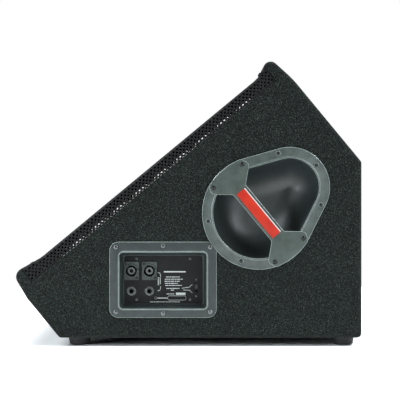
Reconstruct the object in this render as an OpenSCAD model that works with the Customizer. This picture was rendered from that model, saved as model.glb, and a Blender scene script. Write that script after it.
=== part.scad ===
// Two-way stage monitor wedge: a plywood cabinet covered in carpet, a folded
// perforated grille, a 12 inch woofer, a horn, a recessed connector dish and a
// cup handle on each side.
// Frame: +Z up, the grille faces -X and up, the connectors are on the -Y side.
// The origin is on the floor, under the middle of the cabinet.

/* [Cabinet] */
// Overall length of the cabinet, along X
cab_length = 579.4; // [560:0.2:600]
// Overall width over the carpet, along Y
cab_width = 392; // [388:1:400]
// Tilt of the grille above the floor
tilt = 39.6; // [39:0.1:40]
// Thickness of the plywood boards
board = 18; // [15:1:18]
// Thickness of the glued carpet
carpet = 3; // [2:0.5:3]
// Height of the rubber feet
foot_h = 14; // [10:1:16]
// Radius of the rubber feet
foot_r = 19; // [16:1:20]

/* [Grille] */
// Depth of the grille's side lips
lip_depth = 22; // [20:1:24]
// Thickness of the grille's steel sheet
grille_t = 1.2; // [1:0.1:1.5]

/* [Woofer] */
// Radius of the woofer's frame
woofer_r = 155; // [150:1:156]
// Radius of the woofer's voice coil, at the former
coil_r = 32; // [31.8:0.1:32.2]

/* [Handle] */
// Outer radius of the handle's large lobe
handle_r = 94.6; // [92:0.1:96]
// Outer radius of the handle's small lobe
handle_small_r = 67.2; // [64:0.1:69]
// Distance between the centres of the two lobes
handle_span = 67.8; // [66:0.1:72]
// Width of the handle's flange
flange_w = 18.5; // [17:0.5:20]
// Depth of the handle's bowl behind the carpet
cup_depth = 72; // [60:1:72]

/* [Connector dish] */
// Length of the dish's flange, along X
dish_w = 179.5; // [178:0.5:180]
// Height of the dish's flange, along Z
dish_h = 127; // [126:0.5:128]
// Depth of the dish behind the carpet
dish_depth = 25; // [22:1:28]
// Radius of the bore that takes a 6.35 mm jack plug
jack_bore_r = 3.25; // [3.2:0.05:3.3]
// Travel of the selector's slider, down from its upper position
selector_travel = 6; // [2:0.5:6]

/* [Hidden] */
$fn = 64;

// small clearances
hair = 0.1;        // round a screw or a pin in its hole
slip = 0.3;        // between pieces that only lie beside each other
past = 1;          // how far a cutting tool runs past a face
head_lift = 0.02;  // keeps a head clear of a sheet that lies at an angle

// the cabinet in side view; s runs up the grille and h out of it
half_length = cab_length / 2;
half_width = cab_width / 2;
inner_half = half_width - carpet - board;
grille_foot = [-215.5, 175.0];   // X and Z where s = 0 and h = 0
kick_s = -103.5;                 // outer face of the kick panel
rear_s = 474.7;                  // outer face of the rear slope
ear_wall = board + 2 * carpet;   // each nose stands this thick beside the grille
low_ear_s = kick_s + ear_wall;
high_ear_s = rear_s - ear_wall;
low_bend_s = -40.6;              // where the grille bends up to the lower nose
high_bend_s = 428.3;             // where it bends up to the upper nose
low_bend_angle = 10;
high_bend_angle = 22.8;
nose_h = -38;                    // where the noses begin to taper
nose_taper = 8;
low_nose_r = 15;
high_nose_r = 12.5;
baffle_h = -24;                  // the baffle's front face
edge_r = 8;
floor_z = foot_h + carpet + board;   // inside face of the bottom panel
back_x = half_length - carpet - board;

function unit(v) = v / norm(v);
function on_slope(s, h) = grille_foot + s * [cos(tilt), sin(tilt)] + h * [-sin(tilt), cos(tilt)];
function low_bend_h(s) = (low_bend_s - s) * tan(low_bend_angle);
function high_bend_h(s) = (s - high_bend_s) * tan(high_bend_angle);
function h_at_z(s, z) = (z - grille_foot[1] - s * sin(tilt)) / cos(tilt);
function h_at_x(s, x) = (grille_foot[0] + s * cos(tilt) - x) / sin(tilt);

// the points of a corner at c, between p and q, rounded to radius r
function corner_arc(p, c, q, r, n) = r <= 0 ? [c] :
    let (to_p = unit(p - c),
         to_q = unit(q - c),
         half = acos(to_p * to_q) / 2,
         centre = c + unit(to_p + to_q) * r / sin(half),
         first = c + to_p * r / tan(half) - centre,
         last = c + to_q * r / tan(half) - centre,
         start = atan2(first[1], first[0]),
         turn = atan2(last[1], last[0]) - start,
         sweep = turn > 180 ? turn - 360 : turn < -180 ? turn + 360 : turn)
    [for (i = [0 : n]) centre + r * [cos(start + sweep * i / n), sin(start + sweep * i / n)]];

// a closed outline from corners of the form [[x, y], radius]
function rounded(corners, n = 8) =
    let (count = len(corners))
    [for (i = [0 : count - 1])
        each corner_arc(corners[(i + count - 1) % count][0], corners[i][0],
                        corners[(i + 1) % count][0], corners[i][1], n)];

function rounded_box(w, h, r, n = 6) =
    rounded([for (c = [[-1, -1], [1, -1], [1, 1], [-1, 1]]) [[c[0] * w / 2, c[1] * h / 2], r]], n);

// the corners of the cabinet's side view, shrunk by inset, from the foot of the lower nose
// round the back to the foot of the upper nose; notch_h is where the noses' inner faces end
function cabinet_corners(inset, notch_h) =
    let (low = kick_s + inset,
         high = rear_s - inset,
         low_ear = low_ear_s - inset,
         high_ear = high_ear_s + inset,
         base = foot_h + inset,
         back = half_length - inset)
    concat([[on_slope(low_ear, notch_h), 0]],
           lower_nose(inset),
           [[on_slope(low, h_at_z(low, base)), edge_r - inset],
            [[back, base], edge_r - inset],
            [on_slope(high, h_at_x(high, back)), edge_r - inset]],
           upper_nose(inset),
           [[on_slope(high_ear, notch_h), 0]]);

function lower_nose(inset) =
    let (ear = low_ear_s - inset, tip = kick_s + nose_taper + inset)
    [[on_slope(ear, low_bend_h(ear) - inset), 0],
     [on_slope(tip, low_bend_h(tip) - inset), low_nose_r - 2 * inset],
     [on_slope(kick_s + inset, nose_h), 60]];

function upper_nose(inset) =
    let (ear = high_ear_s + inset, tip = rear_s - nose_taper - inset)
    [[on_slope(rear_s - inset, nose_h), 200],
     [on_slope(tip, high_bend_h(tip) - inset), high_nose_r - 2 * inset],
     [on_slope(ear, high_bend_h(ear) - inset), 0]];

function cabinet_outline(inset) = rounded(cabinet_corners(inset, -lip_depth - inset));

function backwards(list) = [for (i = [len(list) - 1 : -1 : 0]) list[i]];

// the handle's outline: two lobes, a distance apart, joined by tangents
function lobes(big, small, n = 18) =
    let (lean = acos((big - small) / handle_span))
    concat(
        [for (i = [0 : n * 2])
            let (a = lean + (360 - 2 * lean) * i / (n * 2))
            big * [cos(a), sin(a)]],
        [for (i = [0 : n])
            let (a = -lean + 2 * lean * i / n)
            [handle_span, 0] + small * [cos(a), sin(a)]]);

function at_height(points, z) = [for (p = points) [p[0], p[1], z]];

// a closed skin through rings of points that all have the same count; a loop joins its
// last ring to its first, and otherwise both are capped
module loft(rings, loop = false) {
    count = len(rings[0]);
    ring_count = len(rings);
    last = (ring_count - 1) * count;
    points = [for (ring = rings) each ring];
    walls = [for (r = [0 : ring_count - (loop ? 1 : 2)], i = [0 : count - 1])
        let (j = (i + 1) % count,
             here = r * count,
             next = (r + 1) % ring_count * count)
        each [[here + i, next + i, next + j], [here + i, next + j, here + j]]];
    caps = loop ? [] : [[for (i = [0 : count - 1]) i],
                        [for (i = [0 : count - 1]) last + count - 1 - i]];
    polyhedron(points, concat(walls, caps), convexity = 8);
}

// a round lead that follows points
module lead(points, r) {
    sides = 8;
    n = len(points);
    function heading(i) = unit(points[min(i + 1, n - 1)] - points[max(i - 1, 0)]);
    rings = [for (i = [0 : n - 1])
        let (d = heading(i),
             a = unit(cross(d, abs(d[1]) < 0.9 ? [0, 1, 0] : [1, 0, 0])),
             b = cross(d, a))
        [for (k = [0 : sides - 1]) points[i] + r * (cos(k * 360 / sides) * b + sin(k * 360 / sides) * a)]];
    loft(rings);
}

// a smooth route through hand-picked points
function bend(a, b, c, d, t) = 0.5 * ((2 * b) + (c - a) * t + (2 * a - 5 * b + 4 * c - d) * t * t
    + (3 * b - a - 3 * c + d) * t * t * t);
function smooth(p, n = 4) =
    let (m = len(p) - 1)
    concat([for (i = [0 : m - 1], k = [0 : n - 1])
        bend(p[max(i - 1, 0)], p[i], p[i + 1], p[min(i + 2, m)], k / n)], [p[m]]);

// ---- places ----

// side view to space: x stays, y becomes Z, and the extrusion is centred on Y
module side_view(depth) {
    rotate([90, 0, 0]) linear_extrude(depth, center = true) children();
}

// the frame of the grille: x runs up the slope and z out of it
module slope_frame(s = 0, h = 0) {
    at = on_slope(s, h);
    translate([at[0], 0, at[1]]) rotate([0, -tilt, 0]) children();
}

// a frame on the left side's carpet, with z pointing out of the cabinet
module side_frame(x, z, turn = 0) {
    translate([x, -half_width, z]) rotate([0, -turn, 0]) rotate([90, 0, 0]) children();
}

module both_sides() {
    children();
    mirror([0, 1, 0]) children();
}

module ring(outer, inner, h) {
    difference() {
        cylinder(r = outer, h = h);
        translate([0, 0, -past]) cylinder(r = inner, h = h + 2 * past);
    }
}

// a screw whose head rests on z = 0 and whose shank points down
module screw(head_r, head_h, shank_r, length) {
    slot_w = head_r * 0.25;
    slot_l = head_r * 1.1;
    difference() {
        union() {
            cylinder(r = head_r, h = head_h * 0.6);
            translate([0, 0, head_h * 0.6]) cylinder(r1 = head_r, r2 = head_r * 0.7, h = head_h * 0.4);
            translate([0, 0, -length]) cylinder(r = shank_r, h = length + hair);
        }
        for (a = [0, 90])
            rotate([0, 0, a]) translate([-slot_l / 2, -slot_w / 2, head_h * 0.5])
                cube([slot_l, slot_w, head_h]);
    }
}

// round holes at the given places, through a plate that lies on z = 0
module holes(places, r, thick) {
    for (p = places)
        translate([p[0], p[1], -past]) cylinder(r = r, h = thick + 2 * past, $fn = 24);
}

// a wood screw's hole below z = 0 at each place
module screw_holes(places, length) {
    for (p = places)
        translate([p[0], p[1], -length]) cylinder(r = wood_screw_r + hair, h = length + past, $fn = 24);
}

// ---- cabinet ----

handle_at = [116.9, 223.2];
dish_at = [-43, 111.6];
cup_wall = 3;
flange_t = 2;
dish_flange_t = 1.6;
dish_wall = 2.5;
opening_w = 146;
opening_h = 94;
opening_drop = 1.4;      // how far the opening sits below the flange's middle
opening_r = 6;
dish_draft = 5;
foot_places = [for (x = [-185.4, 261.2], y = [-160, 160]) [x, y]];
foot_shank_r = 2.2;
foot_screw_l = 24;
wood_screw_r = 1.8;
handle_screw_l = 16;

wing_screws = [for (x = [-31, 31], y = [-80.4, 80.4]) [x, y]];
flange_screws = [[89, 56], [89, -56], [125.5, 0], [-73.8, 43], [-73.8, -43]];
dish_screw_places = [for (x = [-79, 0, 79], y = [-1, 1]) [x, y * (x == 0 ? 56.6 : 54.2)]];

// the holes that a side's handle makes in its board or carpet
module handle_cut() {
    side_frame(handle_at[0], handle_at[1], tilt) {
        translate([0, 0, -board - carpet - past]) linear_extrude(board + carpet + 2 * past)
            polygon(lobes(handle_r - flange_w + cup_wall + slip,
                          handle_small_r - flange_w + cup_wall + slip));
        screw_holes(concat(wing_screws, flange_screws), handle_screw_l);
    }
}

module dish_cut() {
    side_frame(dish_at[0], dish_at[1]) {
        translate([0, -opening_drop, -board - carpet - past]) linear_extrude(board + carpet + 2 * past)
            polygon(rounded_box(opening_w + 2 * dish_wall + 1, opening_h + 2 * dish_wall + 1,
                                opening_r + dish_wall));
        screw_holes(dish_screw_places, handle_screw_l);
    }
}

module side_board() {
    difference() {
        translate([0, -(inner_half + board / 2), 0]) side_view(board) polygon(cabinet_outline(carpet));
        handle_cut();
    }
}

module side_panel_left() {
    color("burlywood") difference() {
        side_board();
        dish_cut();
    }
}

module side_panel_right() {
    color("burlywood") mirror([0, 1, 0]) side_board();
}

module cross_board(outline) {
    side_view(2 * inner_half) polygon(outline);
}

module foot_screw_holes() {
    for (p = foot_places)
        translate([p[0], p[1], 0]) cylinder(r = foot_shank_r + hair, h = foot_h + foot_screw_l, $fn = 24);
}

wood_low = kick_s + carpet;
wood_high = rear_s - carpet;
wood_back = half_length - carpet;
wood_base = foot_h + carpet;
slope_inside_s = wood_high - board;
kick_inside_s = wood_low + board;

module bottom_panel() {
    color("burlywood") difference() {
        cross_board(rounded([
            [on_slope(wood_low, h_at_z(wood_low, floor_z)), 0],
            [on_slope(wood_low, h_at_z(wood_low, wood_base)), edge_r - carpet],
            [[wood_back, wood_base], edge_r - carpet],
            [[wood_back, floor_z], 0]]));
        foot_screw_holes();
    }
}

module back_panel() {
    color("burlywood") cross_board([
        [back_x, floor_z],
        [wood_back, floor_z],
        on_slope(slope_inside_s, h_at_x(slope_inside_s, wood_back)),
        on_slope(slope_inside_s, h_at_x(slope_inside_s, back_x))]);
}

module rear_slope_panel() {
    color("burlywood") cross_board(rounded(concat(
        [[on_slope(slope_inside_s, h_at_x(slope_inside_s, wood_back)), 0],
         [on_slope(wood_high, h_at_x(wood_high, wood_back)), edge_r - carpet]],
        upper_nose(carpet))));
}

module kick_panel() {
    color("burlywood") cross_board(rounded(concat(
        lower_nose(carpet),
        [[on_slope(wood_low, h_at_z(wood_low, floor_z)), 0],
         [on_slope(kick_inside_s, h_at_z(kick_inside_s, floor_z)), 0]])));
}

woofer_s = 97;
horn_s = 352;
horn_w = 148;            // along the slope
horn_l = 284;            // across it
horn_cut_w = 124;
horn_cut_l = 250;
horn_plate_t = 4;
port_at = [239, 128];
port_r = 30;
port_wall = 3;
port_l = 62;
bolt_ring_r = 147.5;
bolt_count = 8;
bolt_r = 2.5;
rebate = 5;
basket_r = 141;

function horn_screw_places() = [for (x = [-66, 66], y = [-134, 0, 134]) [x, y]];

module baffle() {
    length = slope_inside_s - kick_inside_s;
    color("burlywood") difference() {
        slope_frame(0, baffle_h)
            translate([kick_inside_s, -inner_half, -board]) cube([length, 2 * inner_half, board]);
        slope_frame(woofer_s, baffle_h) {
            translate([0, 0, -board - past]) cylinder(r = basket_r + 1, h = board + 2 * past, $fn = 96);
            translate([0, 0, -rebate]) cylinder(r = woofer_r + 1, h = rebate + past, $fn = 96);
            for (i = [0 : bolt_count - 1])
                rotate([0, 0, (i + 0.5) * 360 / bolt_count]) translate([bolt_ring_r, 0, -board - past])
                    cylinder(r = bolt_r + hair, h = board + 2 * past, $fn = 24);
        }
        slope_frame(horn_s, baffle_h) {
            translate([-horn_cut_w / 2, -horn_cut_l / 2, -board - past])
                cube([horn_cut_w, horn_cut_l, board + 2 * past]);
            for (p = horn_screw_places())
                translate([p[0], p[1], -15]) cylinder(r = wood_screw_r + hair, h = 16, $fn = 24);
        }
        slope_frame(port_at[0], baffle_h)
            both_sides() translate([0, port_at[1], -board - past])
                cylinder(r = port_r + slip, h = board + 2 * past);
    }
}

// cleats behind the baffle, a stiffener on the back board and another on the slope board
module internal_battens() {
    cleat = 15;
    color("tan") {
        both_sides() slope_frame(0, baffle_h - board - cleat)
            translate([-30, -inner_half, 0]) cube([450, cleat, cleat]);
        translate([back_x - board, -150, 190]) cube([board, 300, 40]);
        both_sides() translate([-150, -inner_half, floor_z]) cube([380, cleat, cleat]);
        slope_frame(slope_inside_s, -120) translate([-board, -100, -40]) cube([board, 200, 40]);
    }
}

// ---- carpet ----

module carpet_side() {
    turn_in = board;
    difference() {
        union() {
            translate([0, -(half_width - carpet / 2), 0]) side_view(carpet) polygon(cabinet_outline(0));
            // the edge that is turned over the board under the grille's lip
            slope_frame(0, -lip_depth - carpet)
                translate([low_ear_s, -half_width + carpet - hair, 0])
                    cube([high_ear_s - low_ear_s, turn_in + hair, carpet]);
        }
        handle_cut();
    }
}

module carpet_side_left() {
    color("#2b302f") difference() {
        carpet_side();
        dish_cut();
    }
}

module carpet_side_right() {
    color("#2b302f") mirror([0, 1, 0]) carpet_side();
}

module carpet_wrap() {
    outside = rounded(cabinet_corners(0, baffle_h));
    inside = rounded(cabinet_corners(carpet, baffle_h));
    color("#2b302f") difference() {
        side_view(cab_width - 2 * carpet) polygon(concat(outside, backwards(inside)));
        foot_screw_holes();
    }
}

// ---- grille ----

function grille_outline(inset) =
    let (low = low_ear_s + slip + inset,
         high = high_ear_s - slip - inset,
         bottom = -lip_depth + slip - (inset > 0 ? past : 0))
    [[low, bottom], [high, bottom], [high, high_bend_h(high) - inset],
     [high_bend_s, -inset], [low_bend_s, -inset], [low, low_bend_h(low) - inset]];

grille_screw_s = [low_ear_s + 14, high_ear_s - 10];

module grille_screw_frames() {
    for (y = [-140, 0, 140]) {
        slope_frame(grille_screw_s[0], low_bend_h(grille_screw_s[0]))
            translate([0, y, 0]) rotate([0, low_bend_angle, 0]) children();
        slope_frame(grille_screw_s[1], high_bend_h(grille_screw_s[1]))
            translate([0, y, 0]) rotate([0, -high_bend_angle, 0]) children();
    }
}

module grille() {
    half = half_width - 1;
    color("#101211") difference() {
        slope_frame() rotate([90, 0, 0]) linear_extrude(2 * half, center = true) polygon(grille_outline(0));
        slope_frame() rotate([90, 0, 0])
            linear_extrude(2 * (half - grille_t), center = true) polygon(grille_outline(grille_t));
        grille_screw_frames() translate([0, 0, -5]) cylinder(r = 2, h = 10, $fn = 24);
    }
}

module grille_rails() {
    half = inner_half - 1;
    low_w = 26;
    high_w = 15;
    color("burlywood") difference() {
        union() {
            slope_frame(low_ear_s + 2, baffle_h)
                translate([0, -half, 0]) cube([low_w, 2 * half, -baffle_h - 2]);
            slope_frame(high_ear_s - 2 - high_w, baffle_h)
                translate([0, -half, 0]) cube([high_w, 2 * half, -baffle_h - 2]);
        }
        grille_screw_frames() translate([0, 0, -20]) cylinder(r = wood_screw_r + hair, h = 30, $fn = 24);
    }
}

module grille_screws() {
    color("#1a1a1a") grille_screw_frames() translate([0, 0, head_lift]) screw(3.6, 1.8, wood_screw_r, 16);
}

// ---- woofer; its frame's z = 0 is the baffle's front face ----

spider_z = -64;
neck_z = -60;
plate_z = -82;           // front of the top plate
top_plate_t = 8;
magnet_t = 20;
pole_r = coil_r - 1.2;
gap_r = coil_r + 2;
cone_out_r = 116;
cone_out_z = -14;
surround_r = 137;

module woofer_frame() {
    slope_frame(woofer_s, baffle_h) children();
}

module woofer_basket() {
    color("#2a2c2e") woofer_frame() difference() {
        rotate_extrude($fn = 96) polygon([
            [137, 0], [woofer_r, 0], [woofer_r, -4], [basket_r, -4], [basket_r, -22], [98, -60],
            [78, -78], [78, plate_z], [36, plate_z], [36, plate_z + 3], [73, plate_z + 3], [75, -74],
            [84, spider_z - 3], [70, spider_z - 3], [70, spider_z], [92, spider_z],
            [95, -59], [137, -20]]);
        for (i = [0 : 5])
            rotate([0, 0, i * 60 + 30]) translate([118, 0, -38]) rotate([0, 45, 0])
                translate([0, 0, -40]) linear_extrude(80) polygon(rounded_box(34, 60, 8));
        for (i = [0 : bolt_count - 1])
            rotate([0, 0, (i + 0.5) * 360 / bolt_count]) translate([bolt_ring_r, 0, -10])
                cylinder(r = bolt_r + hair, h = 20, $fn = 24);
    }
}

module woofer_gasket() {
    color("#1c1c1c") woofer_frame() ring(142.5, surround_r, 3, $fn = 96);
}

module woofer_surround() {
    roll_r = (surround_r - cone_out_r) / 2 - 2;
    mid = (surround_r + cone_out_r) / 2;
    seat_z = -6;
    color("#151515") woofer_frame() rotate_extrude($fn = 96) polygon(concat(
        [[surround_r - slip, seat_z], [surround_r - slip, seat_z + 1.5]],
        [for (a = [0 : 15 : 180]) [mid + roll_r * cos(a), seat_z + 1 + roll_r * 0.8 * sin(a)]],
        [[cone_out_r + slip, seat_z + 0.5], [cone_out_r + slip, seat_z]],
        [for (a = [180 : -15 : 0]) [mid + (roll_r - 1) * cos(a), seat_z + (roll_r - 1) * 0.8 * sin(a)]]));
}

module woofer_spider() {
    waves = 3;
    inner = coil_r + 1.6;
    outer = 84;
    steps = 24;
    wave = function (k) spider_z + 1.6
        + 1.2 * sin(k / steps * 360 * waves) * (k > 3 && k < steps - 3 ? 1 : 0);
    radius = function (k) inner + (outer - inner) * k / steps;
    color("#b98b3c") woofer_frame() rotate_extrude($fn = 72) polygon(concat(
        [for (k = [0 : steps]) [radius(k), wave(k) - 0.4]],
        [for (k = [steps : -1 : 0]) [radius(k), wave(k) + 0.4]]));
}

module woofer_cone() {
    wall = 1.2;
    neck_r = coil_r + 1.5;
    color("#202020") woofer_frame() rotate_extrude($fn = 96) polygon(concat(
        [for (k = [0 : 8]) [neck_r + (cone_out_r - neck_r) * k / 8,
                            neck_z + (cone_out_z - neck_z) * pow(k / 8, 0.85) + 6 * k / 8]],
        [[cone_out_r, cone_out_z + 6 + wall]],
        [for (k = [8 : -1 : 0]) [neck_r + (cone_out_r - neck_r) * k / 8,
                                 neck_z + wall + 0.4 + (cone_out_z - neck_z) * pow(k / 8, 0.85) + 6 * k / 8]]));
}

module woofer_dust_cap() {
    cap_r = 46;
    rise = 14;
    base_z = -50.5;
    color("#2a2a2a") woofer_frame() rotate_extrude($fn = 72) polygon(concat(
        [for (k = [0 : 8]) [cap_r * k / 8, base_z + rise * (1 - pow(k / 8, 2))]],
        [for (k = [8 : -1 : 0]) [cap_r * k / 8, base_z + 1 + rise * (1 - pow(k / 8, 2))]]));
}

module woofer_voice_coil() {
    color("#b87333") woofer_frame() {
        translate([0, 0, -95]) ring(coil_r + 0.2, coil_r - 0.2, 34, $fn = 72);
        translate([0, 0, -94]) ring(coil_r + 1.1, coil_r + 0.2, 14, $fn = 72);
    }
}

module woofer_top_plate() {
    color("#7f8386") woofer_frame() translate([0, 0, plate_z - top_plate_t])
        ring(70, gap_r, top_plate_t, $fn = 72);
}

module woofer_magnet() {
    color("#3a3a3c") woofer_frame() translate([0, 0, plate_z - top_plate_t - magnet_t])
        ring(78, 42, magnet_t, $fn = 72);
}

module woofer_pole_piece() {
    disc_t = 8;
    base_z = plate_z - top_plate_t - magnet_t - disc_t;
    color("#7f8386") woofer_frame() difference() {
        union() {
            translate([0, 0, base_z]) cylinder(r = 70, h = disc_t, $fn = 72);
            translate([0, 0, base_z]) cylinder(r = pole_r, h = disc_t + magnet_t + top_plate_t, $fn = 72);
        }
        translate([0, 0, base_z - past]) cylinder(r = 10, h = 80);
    }
}

module woofer_bolts() {
    color("#1a1a1a") woofer_frame() for (i = [0 : bolt_count - 1])
        rotate([0, 0, (i + 0.5) * 360 / bolt_count]) translate([bolt_ring_r, 0, 0])
            screw(4.2, 3, bolt_r, board + 8);
}

module woofer_terminals() {
    color("#4a2f1c") woofer_frame() translate([-58, 0, -86 - 9])
        difference() {
            translate([-24, -14, 0]) cube([2, 28, 9]);
            for (y = [-8, 8])
                translate([-25, y, 4.5]) rotate([0, 90, 0]) cylinder(r = 1.5, h = 4, $fn = 24);
        }
}

// ---- horn and its driver ----

module horn_frame() {
    slope_frame(horn_s, baffle_h) children();
}

throat_r = 12.7;
horn_depth = 104;

// a ring that turns from a rounded rectangle at the mouth into a circle at the throat
function horn_ring(t, grow) =
    let (n = 40,
         open = pow(1 - t, 1.7),
         half_x = throat_r + (horn_cut_w / 2 - 4 - throat_r) * open + grow,
         half_y = throat_r + (horn_cut_l / 2 - 4 - throat_r) * open + grow,
         power = 1 - 0.62 * open)
    [for (i = [0 : n - 1])
        let (a = (i + 0.5) * 360 / n)
        [half_x * sign(cos(a)) * pow(abs(cos(a)), power),
         half_y * sign(sin(a)) * pow(abs(sin(a)), power), -horn_depth * t]];

module horn_flare() {
    wall = 3;
    steps = 8;
    color("#1b1c1c") horn_frame() {
        loft(concat(
            [at_height(horn_ring(1, wall), -horn_depth - 1)],
            [for (k = [steps : -1 : 1]) horn_ring(k / steps, wall)],
            [at_height(horn_ring(0, wall), horn_plate_t - 1)],
            [at_height(horn_ring(0, 0), horn_plate_t - 1)],
            [for (k = [0 : steps]) horn_ring(k / steps, 0)],
            [at_height(horn_ring(1, 0), -horn_depth - 1)]), loop = true);
    }
    color("#1b1c1c") horn_frame() difference() {
        linear_extrude(horn_plate_t) polygon(rounded_box(horn_w, horn_l, 10));
        translate([0, 0, -past]) linear_extrude(horn_plate_t + 2 * past)
            polygon([for (p = horn_ring(0, 1.5)) [p[0], p[1]]]);
        for (p = horn_screw_places())
            translate([p[0], p[1], -past])
                cylinder(r = wood_screw_r + 0.4, h = horn_plate_t + 2 * past, $fn = 24);
    }
    // the flange the driver bolts to, its bore inside the thickness of the throat's wall
    color("#1b1c1c") horn_frame() translate([0, 0, -horn_depth]) ring(38, throat_r + 2.2, 5);
}

module horn_screws() {
    color("#1a1a1a") horn_frame() for (p = horn_screw_places())
        translate([p[0], p[1], horn_plate_t]) screw(4, 2.4, wood_screw_r, 17);
}

driver_z = -horn_depth - 1;
driver_r = 50;

module horn_driver_plate() {
    color("#7f8386") horn_frame() {
        translate([0, 0, driver_z - 8]) ring(driver_r - 4, throat_r, 8);
        translate([0, 0, driver_z - 8 - 22]) ring(20, throat_r, 22);
    }
}

module horn_driver_magnet() {
    color("#3a3a3c") horn_frame() translate([0, 0, driver_z - 8 - 18]) ring(driver_r, 25, 18);
}

module horn_diaphragm() {
    top = driver_z - 32;
    dome_r = 21.5;
    color("#9aa0a6") horn_frame() {
        rotate_extrude($fn = 48) polygon(concat(
            [for (a = [0 : 10 : 90]) [dome_r * cos(a), top - 1 - 8 * sin(a)]],
            [for (a = [90 : -10 : 0]) [(dome_r - 0.6) * cos(a), top - 1 - 7.4 * sin(a)]]));
        translate([0, 0, top - 1]) ring(dome_r + 0.8, dome_r - 0.6, 8, $fn = 48);
    }
}

module horn_driver_cover() {
    cover_h = 22;
    top = driver_z - 26;
    color("#26282a") horn_frame() difference() {
        translate([0, 0, top - cover_h]) cylinder(r = driver_r - 2, h = cover_h);
        translate([0, 0, top - cover_h + 3]) cylinder(r = driver_r - 6, h = cover_h);
    }
}

module port_tubes() {
    lip = 3.5;
    color("#1b1c1c") both_sides() slope_frame(port_at[0], baffle_h) translate([0, port_at[1], 0]) {
        translate([0, 0, -port_l]) ring(port_r, port_r - port_wall, port_l);
        ring(port_r + lip, port_r - port_wall, 2);
    }
}

// ---- inside the box ----

board_at = [165, 0];
board_size = [140, 110];
board_z = floor_z + 8;
pcb_t = 1.6;
standoff_places = [for (x = [-62, 62], y = [-47, 47]) [board_at[0] + x, board_at[1] + y]];

module crossover_board() {
    color("#2f5d3a") difference() {
        translate([board_at[0] - board_size[0] / 2, -board_size[1] / 2, board_z])
            cube([board_size[0], board_size[1], pcb_t]);
        for (p = standoff_places)
            translate([p[0], p[1], board_z - past]) cylinder(r = 1.9, h = pcb_t + 2 * past, $fn = 24);
    }
}

module crossover_standoffs() {
    color("silver") for (p = standoff_places) {
        translate([p[0], p[1], floor_z]) cylinder(r = 4, h = 8, $fn = 24);
        translate([p[0], p[1], floor_z + 8 - hair]) cylinder(r = 1.7, h = pcb_t + hair + 0.1, $fn = 24);
        translate([p[0], p[1], board_z + pcb_t]) cylinder(r = 3, h = 2, $fn = 24);
    }
}

module crossover_inductors() {
    top = board_z + pcb_t;
    color("#b87333") {
        translate([board_at[0] - 32, -20, top]) ring(21, 8, 20);
        translate([board_at[0] - 32, 30, top]) ring(15, 6, 14);
        translate([board_at[0] + 20, -24, top + 15]) rotate([0, 90, 0]) ring(15, 6, 14);
    }
}

module crossover_capacitors() {
    top = board_z + pcb_t;
    color("#c8a24a") for (k = [0 : 2])
        translate([board_at[0] + 4, 8 + 17 * k, top + 7]) rotate([0, 90, 0])
            cylinder(r = 7, h = 32, $fn = 32);
}

module crossover_resistors() {
    top = board_z + pcb_t;
    color("#e8e4da") for (k = [0 : 1])
        translate([board_at[0] + 42, 4 + 22 * k, top + 1]) cube([22, 9, 9]);
}

lead_r = 2.4;
// routes run from the connector plate to the filter, and from it to each driver
input_route = [[-34, -148, 128], [-20, -128, 126], [-6, -112, 100], [10, -104, 62],
               [44, -90, 46], [76, -66, 52], [100, -50, 56], [112, -47, 50]];
woofer_route = [[112, 16, 50], [98, 22, 58], [70, 40, 62], [20, 60, 64],
                [-50, 50, 60], [-118, 20, 58], [-136, 0, 66], [-140, 0, 78]];
horn_route = [[216, 40, 50], [228, 44, 62], [234, 40, 110], [232, 30, 170],
              [228, 20, 210], [222, 8, 226], [210, 0, 229]];

module wiring_harness() {
    color("#8c2f2f") {
        lead(smooth(input_route), lead_r);
        lead(smooth(woofer_route), lead_r);
        lead(smooth(horn_route), lead_r);
    }
}

module damping_wadding() {
    thick = 24;
    color("#8f8f88") translate([back_x - thick - slip, -140, 60])
        cube([thick, 280, 110]);
}

// ---- connector dish; z = 0 is the carpet's face ----

plate_top = -dish_depth;
plate_t = 2;
ledge_t = 2;
ledge_w = 6;             // along the top and bottom
ledge_side_w = 1.2;      // along the two ends, beside the sockets
ledge_boss_r = 3.8;      // round each of the plate's screws
plate_w = opening_w - 2 * dish_draft - 1;
plate_h = opening_h - 2 * dish_draft - 1;
// places on the plate, from the middle of the dish's flange
socket_places = [[-54, 13.6], [-23.6, 13.6]];
jack_places = [[-54, -20.6], [-23.6, -20.6]];
plate_screw_places = [for (x = [-45.4, 45.4], y = [-35.1, 34.5]) [x, y]];
selector_at = [55.8, -15.3];
selector_screw_y = 14.2;        // each side of the selector's middle
selector_screw_places = [for (y = [-1, 1]) selector_at + [0, y * selector_screw_y]];
socket_screw_offsets = [[-9.5, 12], [9.5, -12]];
socket_cavity_r = 9.3;
socket_body_r = 11.6;
socket_depth = 26;
core_r = 6.2;
core_hole_r = 2.9;
jack_thread_r = 4.7;
small_screw_r = 1.3;
tiny_screw_r = 1.0;

module dish_frame() {
    side_frame(dish_at[0], dish_at[1]) children();
}

// the dish's inner wall at height z, grown outwards by grow; it narrows towards the back
function dish_ring(z, back_z, grow) =
    let (draft = dish_draft * (dish_flange_t - z) / (dish_flange_t - back_z),
         w = opening_w - 2 * draft + 2 * grow,
         h = opening_h - 2 * draft + 2 * grow)
    [for (p = rounded_box(w, h, opening_r + grow)) [p[0], p[1] - opening_drop, z]];

module dish_flange() {
    difference() {
        linear_extrude(dish_flange_t) polygon(rounded_box(dish_w, dish_h, 15));
        translate([0, -opening_drop, -past]) linear_extrude(2 * past + dish_flange_t)
            polygon(rounded_box(opening_w + dish_wall, opening_h + dish_wall, opening_r + dish_wall / 2));
        holes(dish_screw_places, wood_screw_r + slip, dish_flange_t);
        // the corner makes room for the handle's flange
        translate([handle_at[0] - dish_at[0], handle_at[1] - dish_at[1], -past])
            cylinder(r = handle_r + slip, h = dish_flange_t + 2 * past, $fn = 128);
    }
}

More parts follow.
